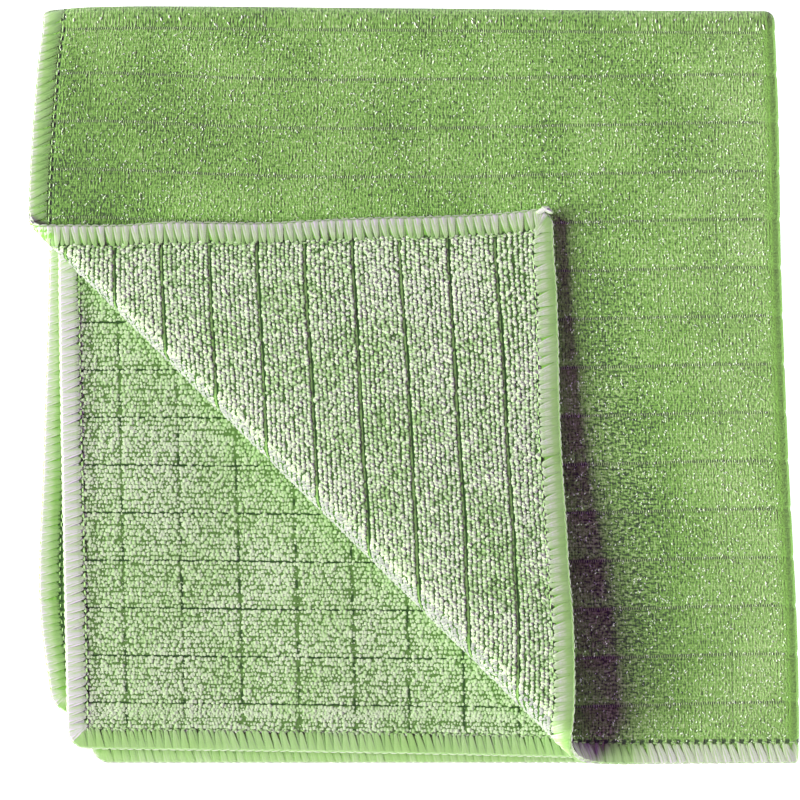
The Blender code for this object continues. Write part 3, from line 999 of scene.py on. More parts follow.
@dataclass(frozen=True)
class FibreFinish:
    """Loops or threads of fine filaments, pale at their tops and middles in painted highlight, and green in
    painted shade where they go down.
    """

    name: str
    # The root colour is painted shade where a strand goes down, and the highlight colour is its painted
    # highlight. The full-light colour is painted where the level runs highest: pale on thread, and a darker
    # grey on the roll's pile against the key light.
    root: Colour
    body: Colour
    crown: Colour
    full_light: Colour
    blush: Colour
    blush_share: float
    highlight_from: float
    highlight_to: float
    full_light_from: float
    tone_share: float
    filaments: float
    twist: float
    sheen: float = 0.3
    sheen_roughness: float = 0.5
    patch_share: float = 0.0
    filament_share: float = 0.4
    gloss: float = 0.3
    roughness: float = 0.6
    relief: float = 0.04 * MM

    def build(self, filaments: NodeTree, drift: NodeTree) -> Material:
        """Makes the material.

        Args:
            filaments: The group for filaments along a strand.
            drift: The group for slow colour drift.

        Returns:
            The material.
        """
        material, graph, shader = new_material(self.name)
        # Each point's painted highlight level: high for painted highlight, low for painted shade.
        crown = graph.add("ShaderNodeAttribute", "Fac", attribute_name="crown")
        tone = graph.add("ShaderNodeAttribute", "Fac", attribute_name="tone")
        fine = graph.group(filaments, Strand=graph.uv("strand"), Count=self.filaments, Twist=self.twist)
        where = graph.add("ShaderNodeTexCoord", "Object")
        patches = graph.group(drift, Place=where, Patches=60.0)["Drift"]
        level = crown + (tone - 0.5) * self.tone_share + (patches - 0.5) * self.patch_share
        colour = graph.mix(graph.ramp(level, 0.05, 0.5), self.root, self.body)
        colour = graph.mix(graph.ramp(level, self.highlight_from, self.highlight_to), colour, self.crown)
        colour = graph.mix(graph.ramp(level, self.full_light_from, self.full_light_from + 0.4), colour, self.full_light)
        colour = graph.mix(patches * self.blush_share, colour, self.blush)
        colour = graph.mix((1.0 - fine["Shade"]) * self.filament_share, colour, self.body)
        graph.dress(
            shader,
            {
                "Base Color": colour,
                "Normal": graph.bump(fine["Height"], self.relief, 0.8),
                "Roughness": self.roughness,
                "Sheen Weight": self.sheen,
                "Sheen Roughness": self.sheen_roughness,
                "Sheen Tint": SHEEN_TINT,
                "Specular IOR Level": self.gloss,
            },
        )
        return material


PILE_FINISH = FibreFinish(
    name="looped pile",
    root=(0.17, 0.35, 0.07, 1),
    body=(0.3, 0.53, 0.16, 1),
    crown=(0.59, 0.77, 0.4, 1),
    full_light=(0.24, 0.255, 0.215, 1),
    blush=(0.6, 0.63, 0.5, 1),
    blush_share=0.16,
    highlight_from=0.35,
    highlight_to=0.95,
    full_light_from=1.6,
    tone_share=0.8,
    filaments=3.0,
    twist=0.6,
    patch_share=0.2,
)
LAID_PILE_FINISH = replace(
    PILE_FINISH, name="laid pile", crown=(0.48, 0.66, 0.31, 1), tone_share=0.5, blush_share=0.12
)
THREAD_FINISH = FibreFinish(
    name="overlock thread",
    root=(0.12, 0.3, 0.04, 1),
    body=(0.235, 0.455, 0.1, 1),
    crown=(0.455, 0.56, 0.32, 1),
    full_light=(0.62, 0.58, 0.565, 1),
    blush=(0.68, 0.66, 0.62, 1),
    blush_share=0.1,
    highlight_from=0.4,
    highlight_to=1.0,
    full_light_from=1.1,
    tone_share=0.16,
    filaments=7.0,
    twist=0.25,
    sheen=0.1,
    sheen_roughness=0.4,
    filament_share=0.8,
)
LINT_FINISH = FibreFinish(
    name="ends of fibre",
    root=(0.34, 0.58, 0.17, 1),
    body=(0.48, 0.7, 0.3, 1),
    crown=(0.7, 0.86, 0.54, 1),
    full_light=(0.7, 0.86, 0.54, 1),
    blush=(0.7, 0.8, 0.56, 1),
    blush_share=0.2,
    highlight_from=0.3,
    highlight_to=0.8,
    full_light_from=1.1,
    tone_share=0.6,
    filaments=2.0,
    twist=0.2,
)


@dataclass(frozen=True)
class Strand:
    """A short tapered length of thread or pile, built once and repeated.

    The path runs through local (along the rim or rib, inwards, up) points in metres, and bends round its
    middle in the directions that bends_in names. Its height stands away from that middle.
    """

    name: str
    path: Array
    widths: Array
    heights: Array
    highlights: Array
    sides: int
    bends_in: tuple[int, int, int] = (1, 1, 1)

    SHARP_OVER: ClassVar[float] = math.radians(50)

    def build(self) -> Object:
        """Makes the strand as a closed mesh with its attribute for painted highlight and its strand UV map.

        Returns:
            The strand, at the origin.
        """
        count = len(self.path)
        ahead = np.gradient(self.path, axis=0)
        ahead /= np.linalg.norm(ahead, axis=1)[:, None]
        out = (self.path - self.path.mean(axis=0)) * self.bends_in
        bent = ahead * self.bends_in
        bent /= np.linalg.norm(bent, axis=1)[:, None]
        out -= (out * bent).sum(axis=1)[:, None] * bent
        out /= np.linalg.norm(out, axis=1)[:, None]
        wide = np.cross(ahead, out)
        turns = 2 * math.pi * np.arange(self.sides) / self.sides
        rings = (
            self.path[:, None]
            + np.cos(turns)[None, :, None] * out[:, None] * self.heights[:, None, None] / 2
            + np.sin(turns)[None, :, None] * wide[:, None] * self.widths[:, None, None] / 2
        )
        index = np.arange(count * self.sides).reshape(count, self.sides)
        faces = [
            (index[i, j], index[i, (j + 1) % self.sides], index[i + 1, (j + 1) % self.sides], index[i + 1, j])
            for i in range(count - 1)
            for j in range(self.sides)
        ]
        faces += [tuple(index[0, ::-1]), tuple(index[-1])]
        mesh = bpy.data.meshes.new(self.name)
        mesh.from_pydata(rings.reshape(-1, 3).tolist(), [], [tuple(map(int, f)) for f in faces])
        mesh.validate()
        shaped = bmesh.new()
        shaped.from_mesh(mesh)
        bmesh.ops.recalc_face_normals(shaped, faces=shaped.faces)
        shaped.to_mesh(mesh)
        shaped.free()
        # Painted highlight: each ring is paler on top of its section, where the light falls.
        crown = mesh.attributes.new("crown", "FLOAT", "POINT")
        top = (1 + np.cos(turns)) / 2
        crown.data.foreach_set("value", (self.highlights[:, None] * (0.4 + 0.6 * top)[None]).ravel())
        uv = mesh.uv_layers.new(name="strand")
        corner = np.empty(len(mesh.loops), np.int32)
        mesh.loops.foreach_get("vertex_index", corner)
        uvs = np.stack([corner // self.sides / (count - 1), (corner % self.sides) / self.sides], axis=1)
        uv.uv.foreach_set("vector", uvs.astype(np.float32).ravel())
        shade_smooth(mesh)
        mesh.set_sharp_from_angle(angle=self.SHARP_OVER)
        return add_object(self.name, mesh)


@dataclass(frozen=True)
class Arch:
    """A short length of fibre or thread that lies in a low arch, broadest in its middle and palest there, in
    painted highlight.
    """

    name: str
    length: float
    width: float
    depth: float
    rise: float
    ends: float = 0.45
    pale: float = 1.0
    pale_ends: float = 0.6
    steps: int = 4
    past: float = 0.0
    sides: int = 4
    seed: int = 0

    def strand(self) -> Strand:
        """Shapes the arch.

        Returns:
            The strand.
        """
        turns = np.linspace(-self.past, 1 + self.past, self.steps) * math.pi
        rise = np.sin(turns)
        path = np.stack([-np.cos(turns) * self.length / 2, 0 * turns, self.rise * rise], axis=1)
        full = np.clip(rise, 0, 1)
        bulge = self.ends + (1 - self.ends) * full
        # Painted highlight over the arch's middle, painted shade towards its ends.
        highlights = self.pale * (self.pale_ends + (1 - self.pale_ends) * full)
        return Strand(self.name, path, self.width * bulge, self.depth * bulge, highlights, self.sides)


LOOP = Arch("pile loop", 1.35 * MM, 1.1 * MM, 0.42 * MM, 0.29 * MM, 0.72, pale_ends=0.25, steps=3, past=0.06)
FIBRE_END = Arch(
    "end of fibre", 0.5 * MM, 0.31 * MM, 0.248 * MM, 0.15 * MM, 0.5, pale_ends=0.5, steps=3, sides=3
)
PURL = Arch("purl", 2.1 * MM, 0.7 * MM, 0.7 * MM, 0.15 * MM, pale=2.2, seed=32)
NEEDLE_STITCH = Arch("needle stitch", 1.41 * MM, 0.5 * MM, 0.5 * MM, 0.2 * MM, pale=0.7, seed=33)
TAIL = Arch("seam tail", 3.6 * MM, 1.4 * MM, 1.4 * MM, 0.4 * MM, pale=1.8, seed=34)


class Repeater:
    """Sets a strand on every point of a mesh, turned and sized at random, and folds the outcome."""

    def __init__(self, shape: FoldedShape) -> None:
        """Builds its Geometry Nodes tree once.

        Args:
            shape: The folded shape that its pieces are carried into.
        """
        self.shape = shape
        tree = bpy.data.node_groups.new("strand on every point", "GeometryNodeTree")
        face = tree.interface
        face.new_socket("Geometry", in_out="INPUT", socket_type="NodeSocketGeometry")
        face.new_socket("Geometry", in_out="OUTPUT", socket_type="NodeSocketGeometry")
        kinds = {
            "Strand": "NodeSocketObject",
            "Finish": "NodeSocketMaterial",
            "Turn Jitter": "NodeSocketFloat",
            "Size Jitter": "NodeSocketFloat",
            "Seed": "NodeSocketInt",
        }
        for name, kind in kinds.items():
            face.new_socket(name, in_out="INPUT", socket_type=kind)
        graph = Graph(tree)
        given = graph.given()
        strand = graph.add("GeometryNodeObjectInfo", "Geometry", {"Object": given["Strand"]})
        facing, stretch = (
            graph.add("GeometryNodeInputNamedAttribute", 0, {"Name": name}, data_type="FLOAT_VECTOR")
            for name in ("facing", "stretch")
        )
        turn = self.random(graph, given["Turn Jitter"] * -1.0, given["Turn Jitter"], given["Seed"])
        size = self.random(graph, 1.0 - given["Size Jitter"], given["Size Jitter"] + 1.0, given["Seed"] + 7)
        tone = self.random(graph, 0.0, 1.0, given["Seed"] + 13)
        turned = graph.vector_math("ADD", 0, facing, graph.add("ShaderNodeCombineXYZ", 0, {"Z": turn}))
        placed = {
            "Points": given["Geometry"],
            "Instance": strand,
            "Rotation": graph.add("FunctionNodeEulerToRotation", 0, {0: turned}),
            "Scale": graph.add("ShaderNodeVectorMath", 0, {0: stretch, "Scale": size}, operation="SCALE"),
        }
        made = graph.add("GeometryNodeInstanceOnPoints", 0, placed)
        toned = {"Geometry": made, "Name": "tone", "Value": tone}
        made = graph.add("GeometryNodeStoreNamedAttribute", 0, toned, data_type="FLOAT", domain="INSTANCE")
        made = graph.add("GeometryNodeRealizeInstances", 0, {"Geometry": made})
        made = graph.add("GeometryNodeSetMaterial", 0, {"Geometry": made, "Material": given["Finish"]})
        graph.set(tree.nodes.new("NodeGroupOutput").inputs[0], made)
        self.tree = tree

    @staticmethod
    def random(graph: Graph, low: object, high: object, seed: Value) -> Value:
        """A random number from low to high for each point.

        Args:
            graph: The tree's graph.
            low: The least.
            high: The most.
            seed: Its seed.

        Returns:
            The number.
        """
        return graph.add("FunctionNodeRandomValue", 1, {2: low, 3: high, "Seed": seed})

    def repeat(
        self,
        name: str,
        strand: Strand,
        finish: Material,
        points: Array,
        facing: Array,
        jitter: tuple[float, float],
        seed: int,
        stretch: Array | None = None,
        paler: Callable[[Array, Array], Array] | None = None,
    ) -> Object:
        """Repeats a strand over points of the flat cloth, and carries the piece into the folded shape.

        Args:
            name: The new piece's name.
            strand: The strand that is repeated.
            finish: Its material.
            points: Where each strand stands, one (across, along, up) row each.
            facing: Its rotation, one Euler row each.
            jitter: The most that one turns off its facing, in radians, and that its size varies, as a share.
            seed: Seed of the jitter.
            stretch: Its scale, one row each, if they differ.
            paler: What gives how much more painted highlight the strands get at places across and along,
                below 0 for painted shade.

        Returns:
            The piece, a plain mesh.
        """
        base = bpy.data.meshes.new(name + " points")
        base.from_pydata(points.tolist(), [], [])
        stretch = np.ones((len(points), 3)) if stretch is None else stretch
        for attribute, rows in (("facing", facing), ("stretch", stretch)):
            data = base.attributes.new(attribute, "FLOAT_VECTOR", "POINT").data
            data.foreach_set("vector", rows.astype(np.float32).ravel())
        piece, source = add_object(name, base), strand.build()
        modifier = piece.modifiers.new("strands", "NODES")
        modifier.node_group = self.tree
        values = {"Strand": source, "Finish": finish, "Seed": seed}
        values |= {"Turn Jitter": jitter[0], "Size Jitter": jitter[1]}
        for item in self.tree.interface.items_tree:
            if item.in_out == "INPUT" and item.name in values:
                modifier[item.identifier] = values[item.name]
        graph = bpy.context.evaluated_depsgraph_get()
        made = bpy.data.meshes.new_from_object(piece.evaluated_get(graph), depsgraph=graph)
        piece.modifiers.clear()
        piece.data = made
        bpy.data.objects.remove(source, do_unlink=True)
        bpy.data.meshes.remove(base)
        flat = points_of(made)
        # Adds painted light and shade by place to each strand's highlight level.
        if paler:
            crown = np.empty(len(flat), np.float32)
            made.attributes["crown"].data.foreach_get("value", crown)
            crown += paler(flat[:, 0], flat[:, 1]).astype(np.float32)
            made.attributes["crown"].data.foreach_set("value", crown)
        set_points(made, self.shape.place(flat))
        log.info("%s: %d strands", name, len(points))
        return piece


@dataclass
class KnittedSheet:
    """The cloth itself: one closed sheet with a smooth face and a ground for the pile."""

    surface: Surface
    fill_pitch: float = 3.3 * MM
    hidden_pitch: float = 7.0 * MM
    fold_steps: int = 12
    turn_steps: int = 14
    name: str = "cloth_sheet"
    seam_lines: tuple[float, ...] = (0.5 * MM, 1.2 * MM, 2.6 * MM, 4.2 * MM, 5.4 * MM, 6.8 * MM)

    def ticks(
        self, lines: list[float], half_width: float, bend: float, pitch: float, parts: int
    ) -> list[float]:
        """Grid lines over one half of the flat cloth.

        Args:
            lines: The check's lines there.
            half_width: Half the width of each line's dip.
            bend: Where the fold's bend ends.
            pitch: The widest cell.
            parts: How many grid lines each side of a dip takes.

        Returns:
            Distances from the fold, in order.
        """
        half = self.surface.shape.check.half_side
        marks = {bend, half, *(half - line for line in self.seam_lines)}
        for line in lines:
            marks |= {line + half_width * i / parts for i in range(-parts, parts + 1)}
        fixed = sorted(m for m in marks if m >= bend)
        ticks = [fixed[0]]
        for mark in fixed[1:]:
            steps = max(1, math.ceil((mark - ticks[-1]) / pitch - 1e-6))
            ticks += list(np.linspace(ticks[-1], mark, steps + 1)[1:])
        return ticks

    def grid(self) -> tuple[Array, Array]:
        """The grid's places across and along the flat cloth.

        Returns:
            Both, in order.
        """
        shape, check = self.surface.shape, self.surface.shape.check
        first, second = shape.first_reach, shape.second_reach
        weak = self.ticks(check.weak_lines(), check.weak_half_width, first, self.fill_pitch, 1)
        bend = np.linspace(-first, first, self.fold_steps + 1)[1:-1]
        across = np.array([*[-m for m in weak[::-1]], *bend, *weak])
        upper = self.ticks(check.strong_lines(), check.strong_half_width, second, self.fill_pitch, 2)
        lower = self.ticks([], 0.0, second, self.hidden_pitch, 1)
        bend = np.linspace(-second, second, self.fold_steps + 3)[1:-1]
        return across, np.array([*[-m for m in lower[::-1]], *bend, *upper])

    def slab(self) -> Mesh:
        """The flat cloth as a closed slab, with its flat and cells UV maps, already folded in quarters.

        Returns:
            Its mesh, with the smooth side and the rim in the first finish and the pile side in the second.
        """
        shape = self.surface.shape
        ticks_across, ticks_along = self.grid()
        columns, rows = len(ticks_across), len(ticks_along)
        across, along = (a.ravel() for a in np.meshgrid(ticks_across, ticks_along))
        along = along + np.where(along > 0, shape.check.drift(across, along)[1], 0)
        up = np.concatenate([self.surface.height(across, along, side) for side in (Side.PILE, Side.SMOOTH)])
        rounded = shape.round_corners(across, along)
        across, along = np.tile(rounded[0], 2), np.tile(rounded[1], 2)
        points = np.stack(shape.in_quarters(across, along, up), axis=1)
        index = np.arange(columns * rows).reshape(rows, columns)
        a, b, c, d = index[:-1, :-1], index[:-1, 1:], index[1:, 1:], index[1:, :-1]
        smooth = np.stack([a, b, c, d], axis=-1).reshape(-1, 4) + columns * rows
        pile = np.stack([d, c, b, a], axis=-1).reshape(-1, 4)
        rim = np.concatenate([index[0, :-1], index[:-1, -1], index[-1, :0:-1], index[:0:-1, 0]])
        after = np.roll(rim, -1)
        edge = np.stack([rim, after, after + columns * rows, rim + columns * rows], axis=1)
        faces = np.concatenate([smooth, edge, pile])
        mesh = bpy.data.meshes.new(self.name)
        mesh.from_pydata(points.tolist(), [], faces.tolist())
        ground = np.arange(len(faces)) >= len(smooth) + len(edge)
        mesh.polygons.foreach_set("material_index", ground.astype(np.int32))
        corner = faces.ravel()
        weak, strong = shape.check.cells(across, along)
        maps = {"flat": (across / MM, along / MM), "cells": (weak, strong)}
        for name, (u, v) in maps.items():
            places = np.stack([u[corner], v[corner]], axis=1).astype(np.float32)
            mesh.uv_layers.new(name=name).uv.foreach_set("vector", places.ravel())
        return mesh

    def cut_turn(self, mesh: Mesh) -> None:
        """Cuts the top layer along the roll, so that it bends there in even steps.

        Args:
            mesh: The cloth folded in quarters, before its corner is turned back.
        """
        shape = self.surface.shape
        ahead = shape.turn_line[1]
        outward = np.array((ahead[1], -ahead[0]))
        corners = ((shape.turn_start, shape.turn_radius_start), (shape.turn_end, shape.turn_radius_end))
        cloth = bmesh.new()
        cloth.from_mesh(mesh)
        for i in range(self.turn_steps + 1):
            angle = math.pi * i / self.turn_steps
            ends = [
                place + outward * (angle * radius - radius - shape.thickness / 2) for place, radius in corners
            ]
            run = ends[1] - ends[0]
            normal = Vector((run[1], -run[0], 0)).normalized()
            near = [
                f
                for f in cloth.faces
                if f.verts[0].co.z > shape.top_layer_from
                and abs((f.verts[0].co - Vector((*ends[0], 0))).dot(normal)) < 3 * self.fill_pitch
            ]
            edges = {e for f in near for e in f.edges}
            verts = {v for f in near for v in f.verts}
            bmesh.ops.bisect_plane(
                cloth, geom=[*verts, *edges, *near], dist=1e-7, plane_co=(*ends[0], 0), plane_no=normal
            )
        cloth.to_mesh(mesh)
        cloth.free()

    def build(self, knit: Material, ground: Material) -> Object:
        """Makes the sheet.

        Args:
            knit: Finish of the smooth side and the rim.
            ground: Finish of the pile's ground.

        Returns:
            The sheet.
        """
        shape, mesh = self.surface.shape, self.slab()
        self.cut_turn(mesh)
        points = points_of(mesh)
        lowest = points[:, 2] < shape.layer_pitch - shape.layer_gap / 2
        set_points(mesh, shape.settle(points, points[:, 2] > shape.top_layer_from, lowest))
        mesh.materials.append(knit)
        mesh.materials.append(ground)
        shade_smooth(mesh)
        return add_object(self.name, mesh)


@dataclass
class LoopedPile:
    """Rows of small leaning loops, in ribs, on one part of the pile side."""

    surface: Surface
    repeater: Repeater
    outer: bool
    name: str
    ribs_per_cell: int = 10
    bare_line: float = 0.4 * MM
    loop_pitch: float = 0.82 * MM
    loop: Arch = LOOP
    lean: float = math.radians(8)
    jitter: tuple[float, float] = (math.radians(26), 0.2)
    stray: float = 0.14 * MM
    wander: float = 0.12 * MM
    wander_shift: float = 0.35
    weak_press: float = 0.2
    wander_length: float = 9.7 * MM
    row_shift: float = 0.2
    heights: tuple[float, float] = (0.55, 1.15)
    press_reach: float = 0.9 * MM
    under_roll: float = 2.5 * MM
    over_seam: float = 0.3 * MM
    foot_rise: float = 0.1 * MM
    spread_by_height: float = 0.15
    # A darker full-light colour painted on the roll's pile, where the key light falls full on it.
    spread: float = 1.5
    lit_roll_from: tuple[float, float] = (-2 * MM, -1 * MM)
    lit_roll_to: tuple[float, float] = (0 * MM, -2.5 * MM)
    # Painted light on the pile just past the roll, where it slopes away from the light.
    past_roll_light: float = 0.12
    past_roll_light_from: tuple[float, float] = (-2 * MM, 0 * MM)
    past_roll_light_to: tuple[float, float] = (8 * MM, 2 * MM)
    # On the turned corner: painted shade on the pile sloping down from the roll, and painted light farther
    # on; on the layer below, a slightly darker tone all over.
    laid: float = 0.12
    crest_shade_from: tuple[float, float] = (3 * MM, 9 * MM)
    crest_shade_to: tuple[float, float] = (22 * MM, 67 * MM)
    crest_shade_swing: float = 1.7
    # The roll's painted shadow on the layer below, next to it.
    pressed: float = 0.2
    roll_shadow_reach: float = 5 * MM
    seed: int = 21

    def ribs(self) -> Array:
        """The ribs' distances from the second fold.

        Returns:
            One distance for each rib.
        """
        check = self.surface.shape.check
        band = self.surface.band_width if self.outer else 0.0
        rib_pitch = (check.strong_pitch - band - self.bare_line) / self.ribs_per_cell
        cell = self.bare_line + rib_pitch * (np.arange(self.ribs_per_cell) + 0.5)
        first = check.half_side - check.strong_first
        starts = first - check.strong_pitch * np.arange(-1, int(first / check.strong_pitch) + 1)
        return (starts[:, None] + cell[None]).ravel()

    def lattice(self) -> Array:
        """Places of the loops over one upper quarter of the flat cloth.

        Returns:
            Rows of across, along and how tall the loop stands, from 0 to 1.
        """
        check = self.surface.shape.check
        chance = np.random.default_rng(self.seed)
        rows = []
        for number, along in enumerate(self.ribs()):
            shift = 0.5 * (number % 2) + chance.uniform(-self.row_shift, self.row_shift)
            across = self.loop_pitch * (np.arange(int(check.half_side / self.loop_pitch)) + shift)
            wave = self.wander * np.sin(across / self.wander_length + number * self.wander_shift)
            rows.append(np.stack([across, along + wave, np.ones(len(across))], axis=1))
        places = np.concatenate(rows)
        places[:, :2] += chance.normal(0, self.stray, (len(places), 2))
        if not self.outer:
            places[:, 0] *= -1
        places[:, 1] += check.drift(places[:, 0], places[:, 1])[1]
        weak = np.abs(check.distances(places[:, 0], places[:, 1])[0])
        near = step(weak, self.press_reach, 0) * chance.uniform(0.0, 1.0, len(places)) ** 0.5
        places[:, 2] *= (1 - self.weak_press * near) * chance.uniform(*self.heights, len(places))
        return places

    def paler(self, across: Array, along: Array) -> Array:
        """How much paler or darker the loops are painted for light and shade: the darker full-light colour on
        the roll, where the key light falls full on it, painted light just past the roll, painted shade down
        the slope from it and painted light farther on; on the layer below, a slightly darker tone and the
        roll's painted shadow.

        Args:
            across: Distances from the first fold.
            along: Distances from the second fold.

        Returns:
            What their highlight level gains, below 0 where they get darker.
        """
        shape = self.surface.shape
        past, share = shape.turn_offset(*shape.lay_out(across, along))
        if not self.outer:
            # The layer below: a slightly darker tone, and the roll's painted shadow next to it.
            return -self.laid - self.pressed * step(past, self.roll_shadow_reach, 0)
        radius = shape.turn_radius(share)
        beyond = past + radius + shape.thickness / 2 - math.pi * radius
        # Painted: the full-light colour on the roll, light just past it, shade down its slope and light
        # farther on.
        spread = step(beyond + math.pi / 2 * radius, *self.lit_roll_from) * step(beyond, *self.lit_roll_to)
        past_roll_light = step(beyond, *self.past_roll_light_from) * step(beyond, *self.past_roll_light_to)
        laid = step(beyond, *self.crest_shade_from) * (1 - self.crest_shade_swing * step(beyond, *self.crest_shade_to))
        return self.spread * spread + self.past_roll_light * past_roll_light - self.laid * laid

    def build(self, finish: Material) -> Object:
        """Makes one field of loops.

        Args:
            finish: The pile's finish.

        Returns:
            The loops, as one piece.
        """
        surface, shape = self.surface, self.surface.shape
        across, along, height = self.lattice().T
        past = shape.plan_past_turn(across, along)
        margin = shape.turn_radius_end + shape.thickness / 2 if self.outer else self.under_roll
        inside = surface.from_rim(across, along) > surface.seam_width - self.over_seam
        keep = (past > -margin) & inside & (along > shape.second_reach)
        across, along, height = across[keep], along[keep], height[keep]
        up = surface.height(across, along, Side.PILE) + self.foot_rise
        points = np.stack([across, along, up], axis=1)
        facing = np.tile((math.pi, 0.0, self.lean), (len(points), 1))
        spread = 1 + self.spread_by_height * (height - 1)
        stretch = np.stack([spread, spread, height], axis=1)
        return self.repeater.repeat(
            self.name, self.loop.strand(), finish, points, facing, self.jitter, self.seed, stretch, self.paler
        )


@dataclass
class Lint:
    """Pale ends of fibre on the smooth side, more of them along the check and by the first fold."""

    surface: Surface
    repeater: Repeater
    per_square_mm: float = 0.28
    by_fold: float = 0.08
    fold_share: float = 0.35
    on_line: float = 0.22
    line_half_width: float = 0.7 * MM
    off_fold: float = 0.5 * MM
    strong_narrower: float = 1.5
    sunk: float = 0.05 * MM
    jitter: tuple[float, float] = (1.2, 0.4)
    seed: int = 41
    name: str = "lint"

    def places(self) -> Array:
        """Scatters the ends of fibre over the flat cloth.

        Returns:
            Their places, one (across, along) row each.
        """
        shape, chance = self.surface.shape, np.random.default_rng(self.seed)
        low, high = shape.first_reach + self.off_fold, shape.check.half_side - self.surface.seam_width
        most = self.per_square_mm + self.by_fold + self.on_line
        count = int(most * ((high - low) / MM) ** 2)
        spots = chance.uniform(low, high, (count, 2))
        weak, strong = np.abs(shape.check.distances(*spots.T))
        on_line = ease(2 - 2 * np.minimum(weak, self.strong_narrower * strong) / self.line_half_width)
        by_fold = ease(1 - spots[:, 0] / (self.fold_share * high))
        density = self.per_square_mm + self.by_fold * by_fold + self.on_line * on_line
        kept = chance.uniform(0, most, count) < density
        return spots[kept & (shape.plan_past_turn(*spots.T) < shape.turn_radius_end)]

    def build(self, finish: Material) -> Object:
        """Makes them all.

        Args:
            finish: Their finish.

        Returns:
            The ends of fibre, as one piece.
        """
        spots = self.places()
        points = np.column_stack([spots, self.surface.height(*spots.T, Side.SMOOTH) - self.sunk])
        facing = np.tile((0.0, 0.0, math.pi / 2), (len(points), 1))
        strand = FIBRE_END.strand()
        return self.repeater.repeat(self.name, strand, finish, points, facing, self.jitter, self.seed)


class Rim(Enum):
    """The cloth's rims, by how pale their flat wraps and their narrow loopers are from face to face: painted
    highlight where the light falls on them, painted shade where it does not.
    """

    TURNED = (
        ((0, 0.2), (0.2, 0.25), (0.3, 1.2), (0.5, 1.4), (0.62, 1.35), (0.76, 1.3), (0.9, 0.9), (1, 0.5)),
        ((0, 0.15), (0.28, 0.2), (0.4, 0.9), (0.5, 1.0), (0.62, 0.5), (1, 0.2)),
    )
    LOWEST = (
        ((0, 0.3), (0.42, 0.8), (0.5, 1.5), (0.65, 1.45), (0.76, 1.2), (0.83, 0.6), (0.9, 0.4), (1, 0.4)),
        ((0, 0.2), (0.45, 0.8), (0.5, 1.3), (0.65, 1.2), (0.76, 0.9), (0.85, 0.3), (1, 0.2)),
    )
    INNER = (
        ((0, 0.2), (0.3, 0.4), (0.45, 1.3), (0.7, 1.5), (0.9, 1.5), (1, 1.3)),
        ((0, 0.3), (0.4, 0.9), (0.5, 1.3), (0.75, 1.25), (0.85, 1.15), (1, 1.0)),
    )
    OUTER_END = (
        (
            (0, 1.1), (0.1, 1.3), (0.25, 1.4), (0.45, 1.2), (0.52, 0.9), (0.6, 0.3), (0.74, 0.4), (0.86, 1.3),
            (1, 1.2),
        ),
        ((0, 0.9), (0.3, 1.1), (0.48, 1.0), (0.56, 0.4), (0.68, 0.25), (0.8, 0.8), (1, 0.8)),
    )
    INNER_END = (
        ((0, 0.4), (0.5, 0.6), (0.65, 0.4), (0.8, 0.4), (1, 0.6)),
        ((0, 0.3), (0.5, 0.4), (0.66, 0.3), (0.8, 0.2), (1, 0.2)),
    )

    def holds(self, across: Array, along: Array) -> Array:
        """Finds the places round the edge that are on this rim.

        Args:
            across: Distances from the first fold.
            along: Distances from the second fold.

        Returns:
            True where they are.
        """
        at_end = np.abs(across) <= np.abs(along)
        if self in (Rim.OUTER_END, Rim.INNER_END):
            return at_end & ((across > 0) == (self is Rim.OUTER_END))
        if self is Rim.INNER:
            return ~at_end & (across < 0)
        return ~at_end & (across > 0) & ((along > 0) == (self is Rim.TURNED))


@dataclass(frozen=True)
class Thread:
    """One thread of each stitch: its section, how high it runs, how it leans, and its place in the stitch."""

    name: str
    width: float
    height: float
    lift: float
    lean: tuple[float, float]
    inner_share: float
    place: float
    sides: int
    seed: int


WRAP = Thread(
    name="wraps",
    width=2.45 * MM,
    height=0.38 * MM,
    lift=0.92 * MM,
    lean=(1.3 * MM, 0.9 * MM),
    inner_share=0.42,
    place=0.0,
    sides=6,
    seed=31,
)
LOOPER = Thread(
    name="loopers",
    width=1.2 * MM,
    height=0.34 * MM,
    lift=0.86 * MM,
    lean=(1.1 * MM, 0.6 * MM),
    inner_share=0.95,
    place=0.5,
    sides=4,
    seed=35,
)


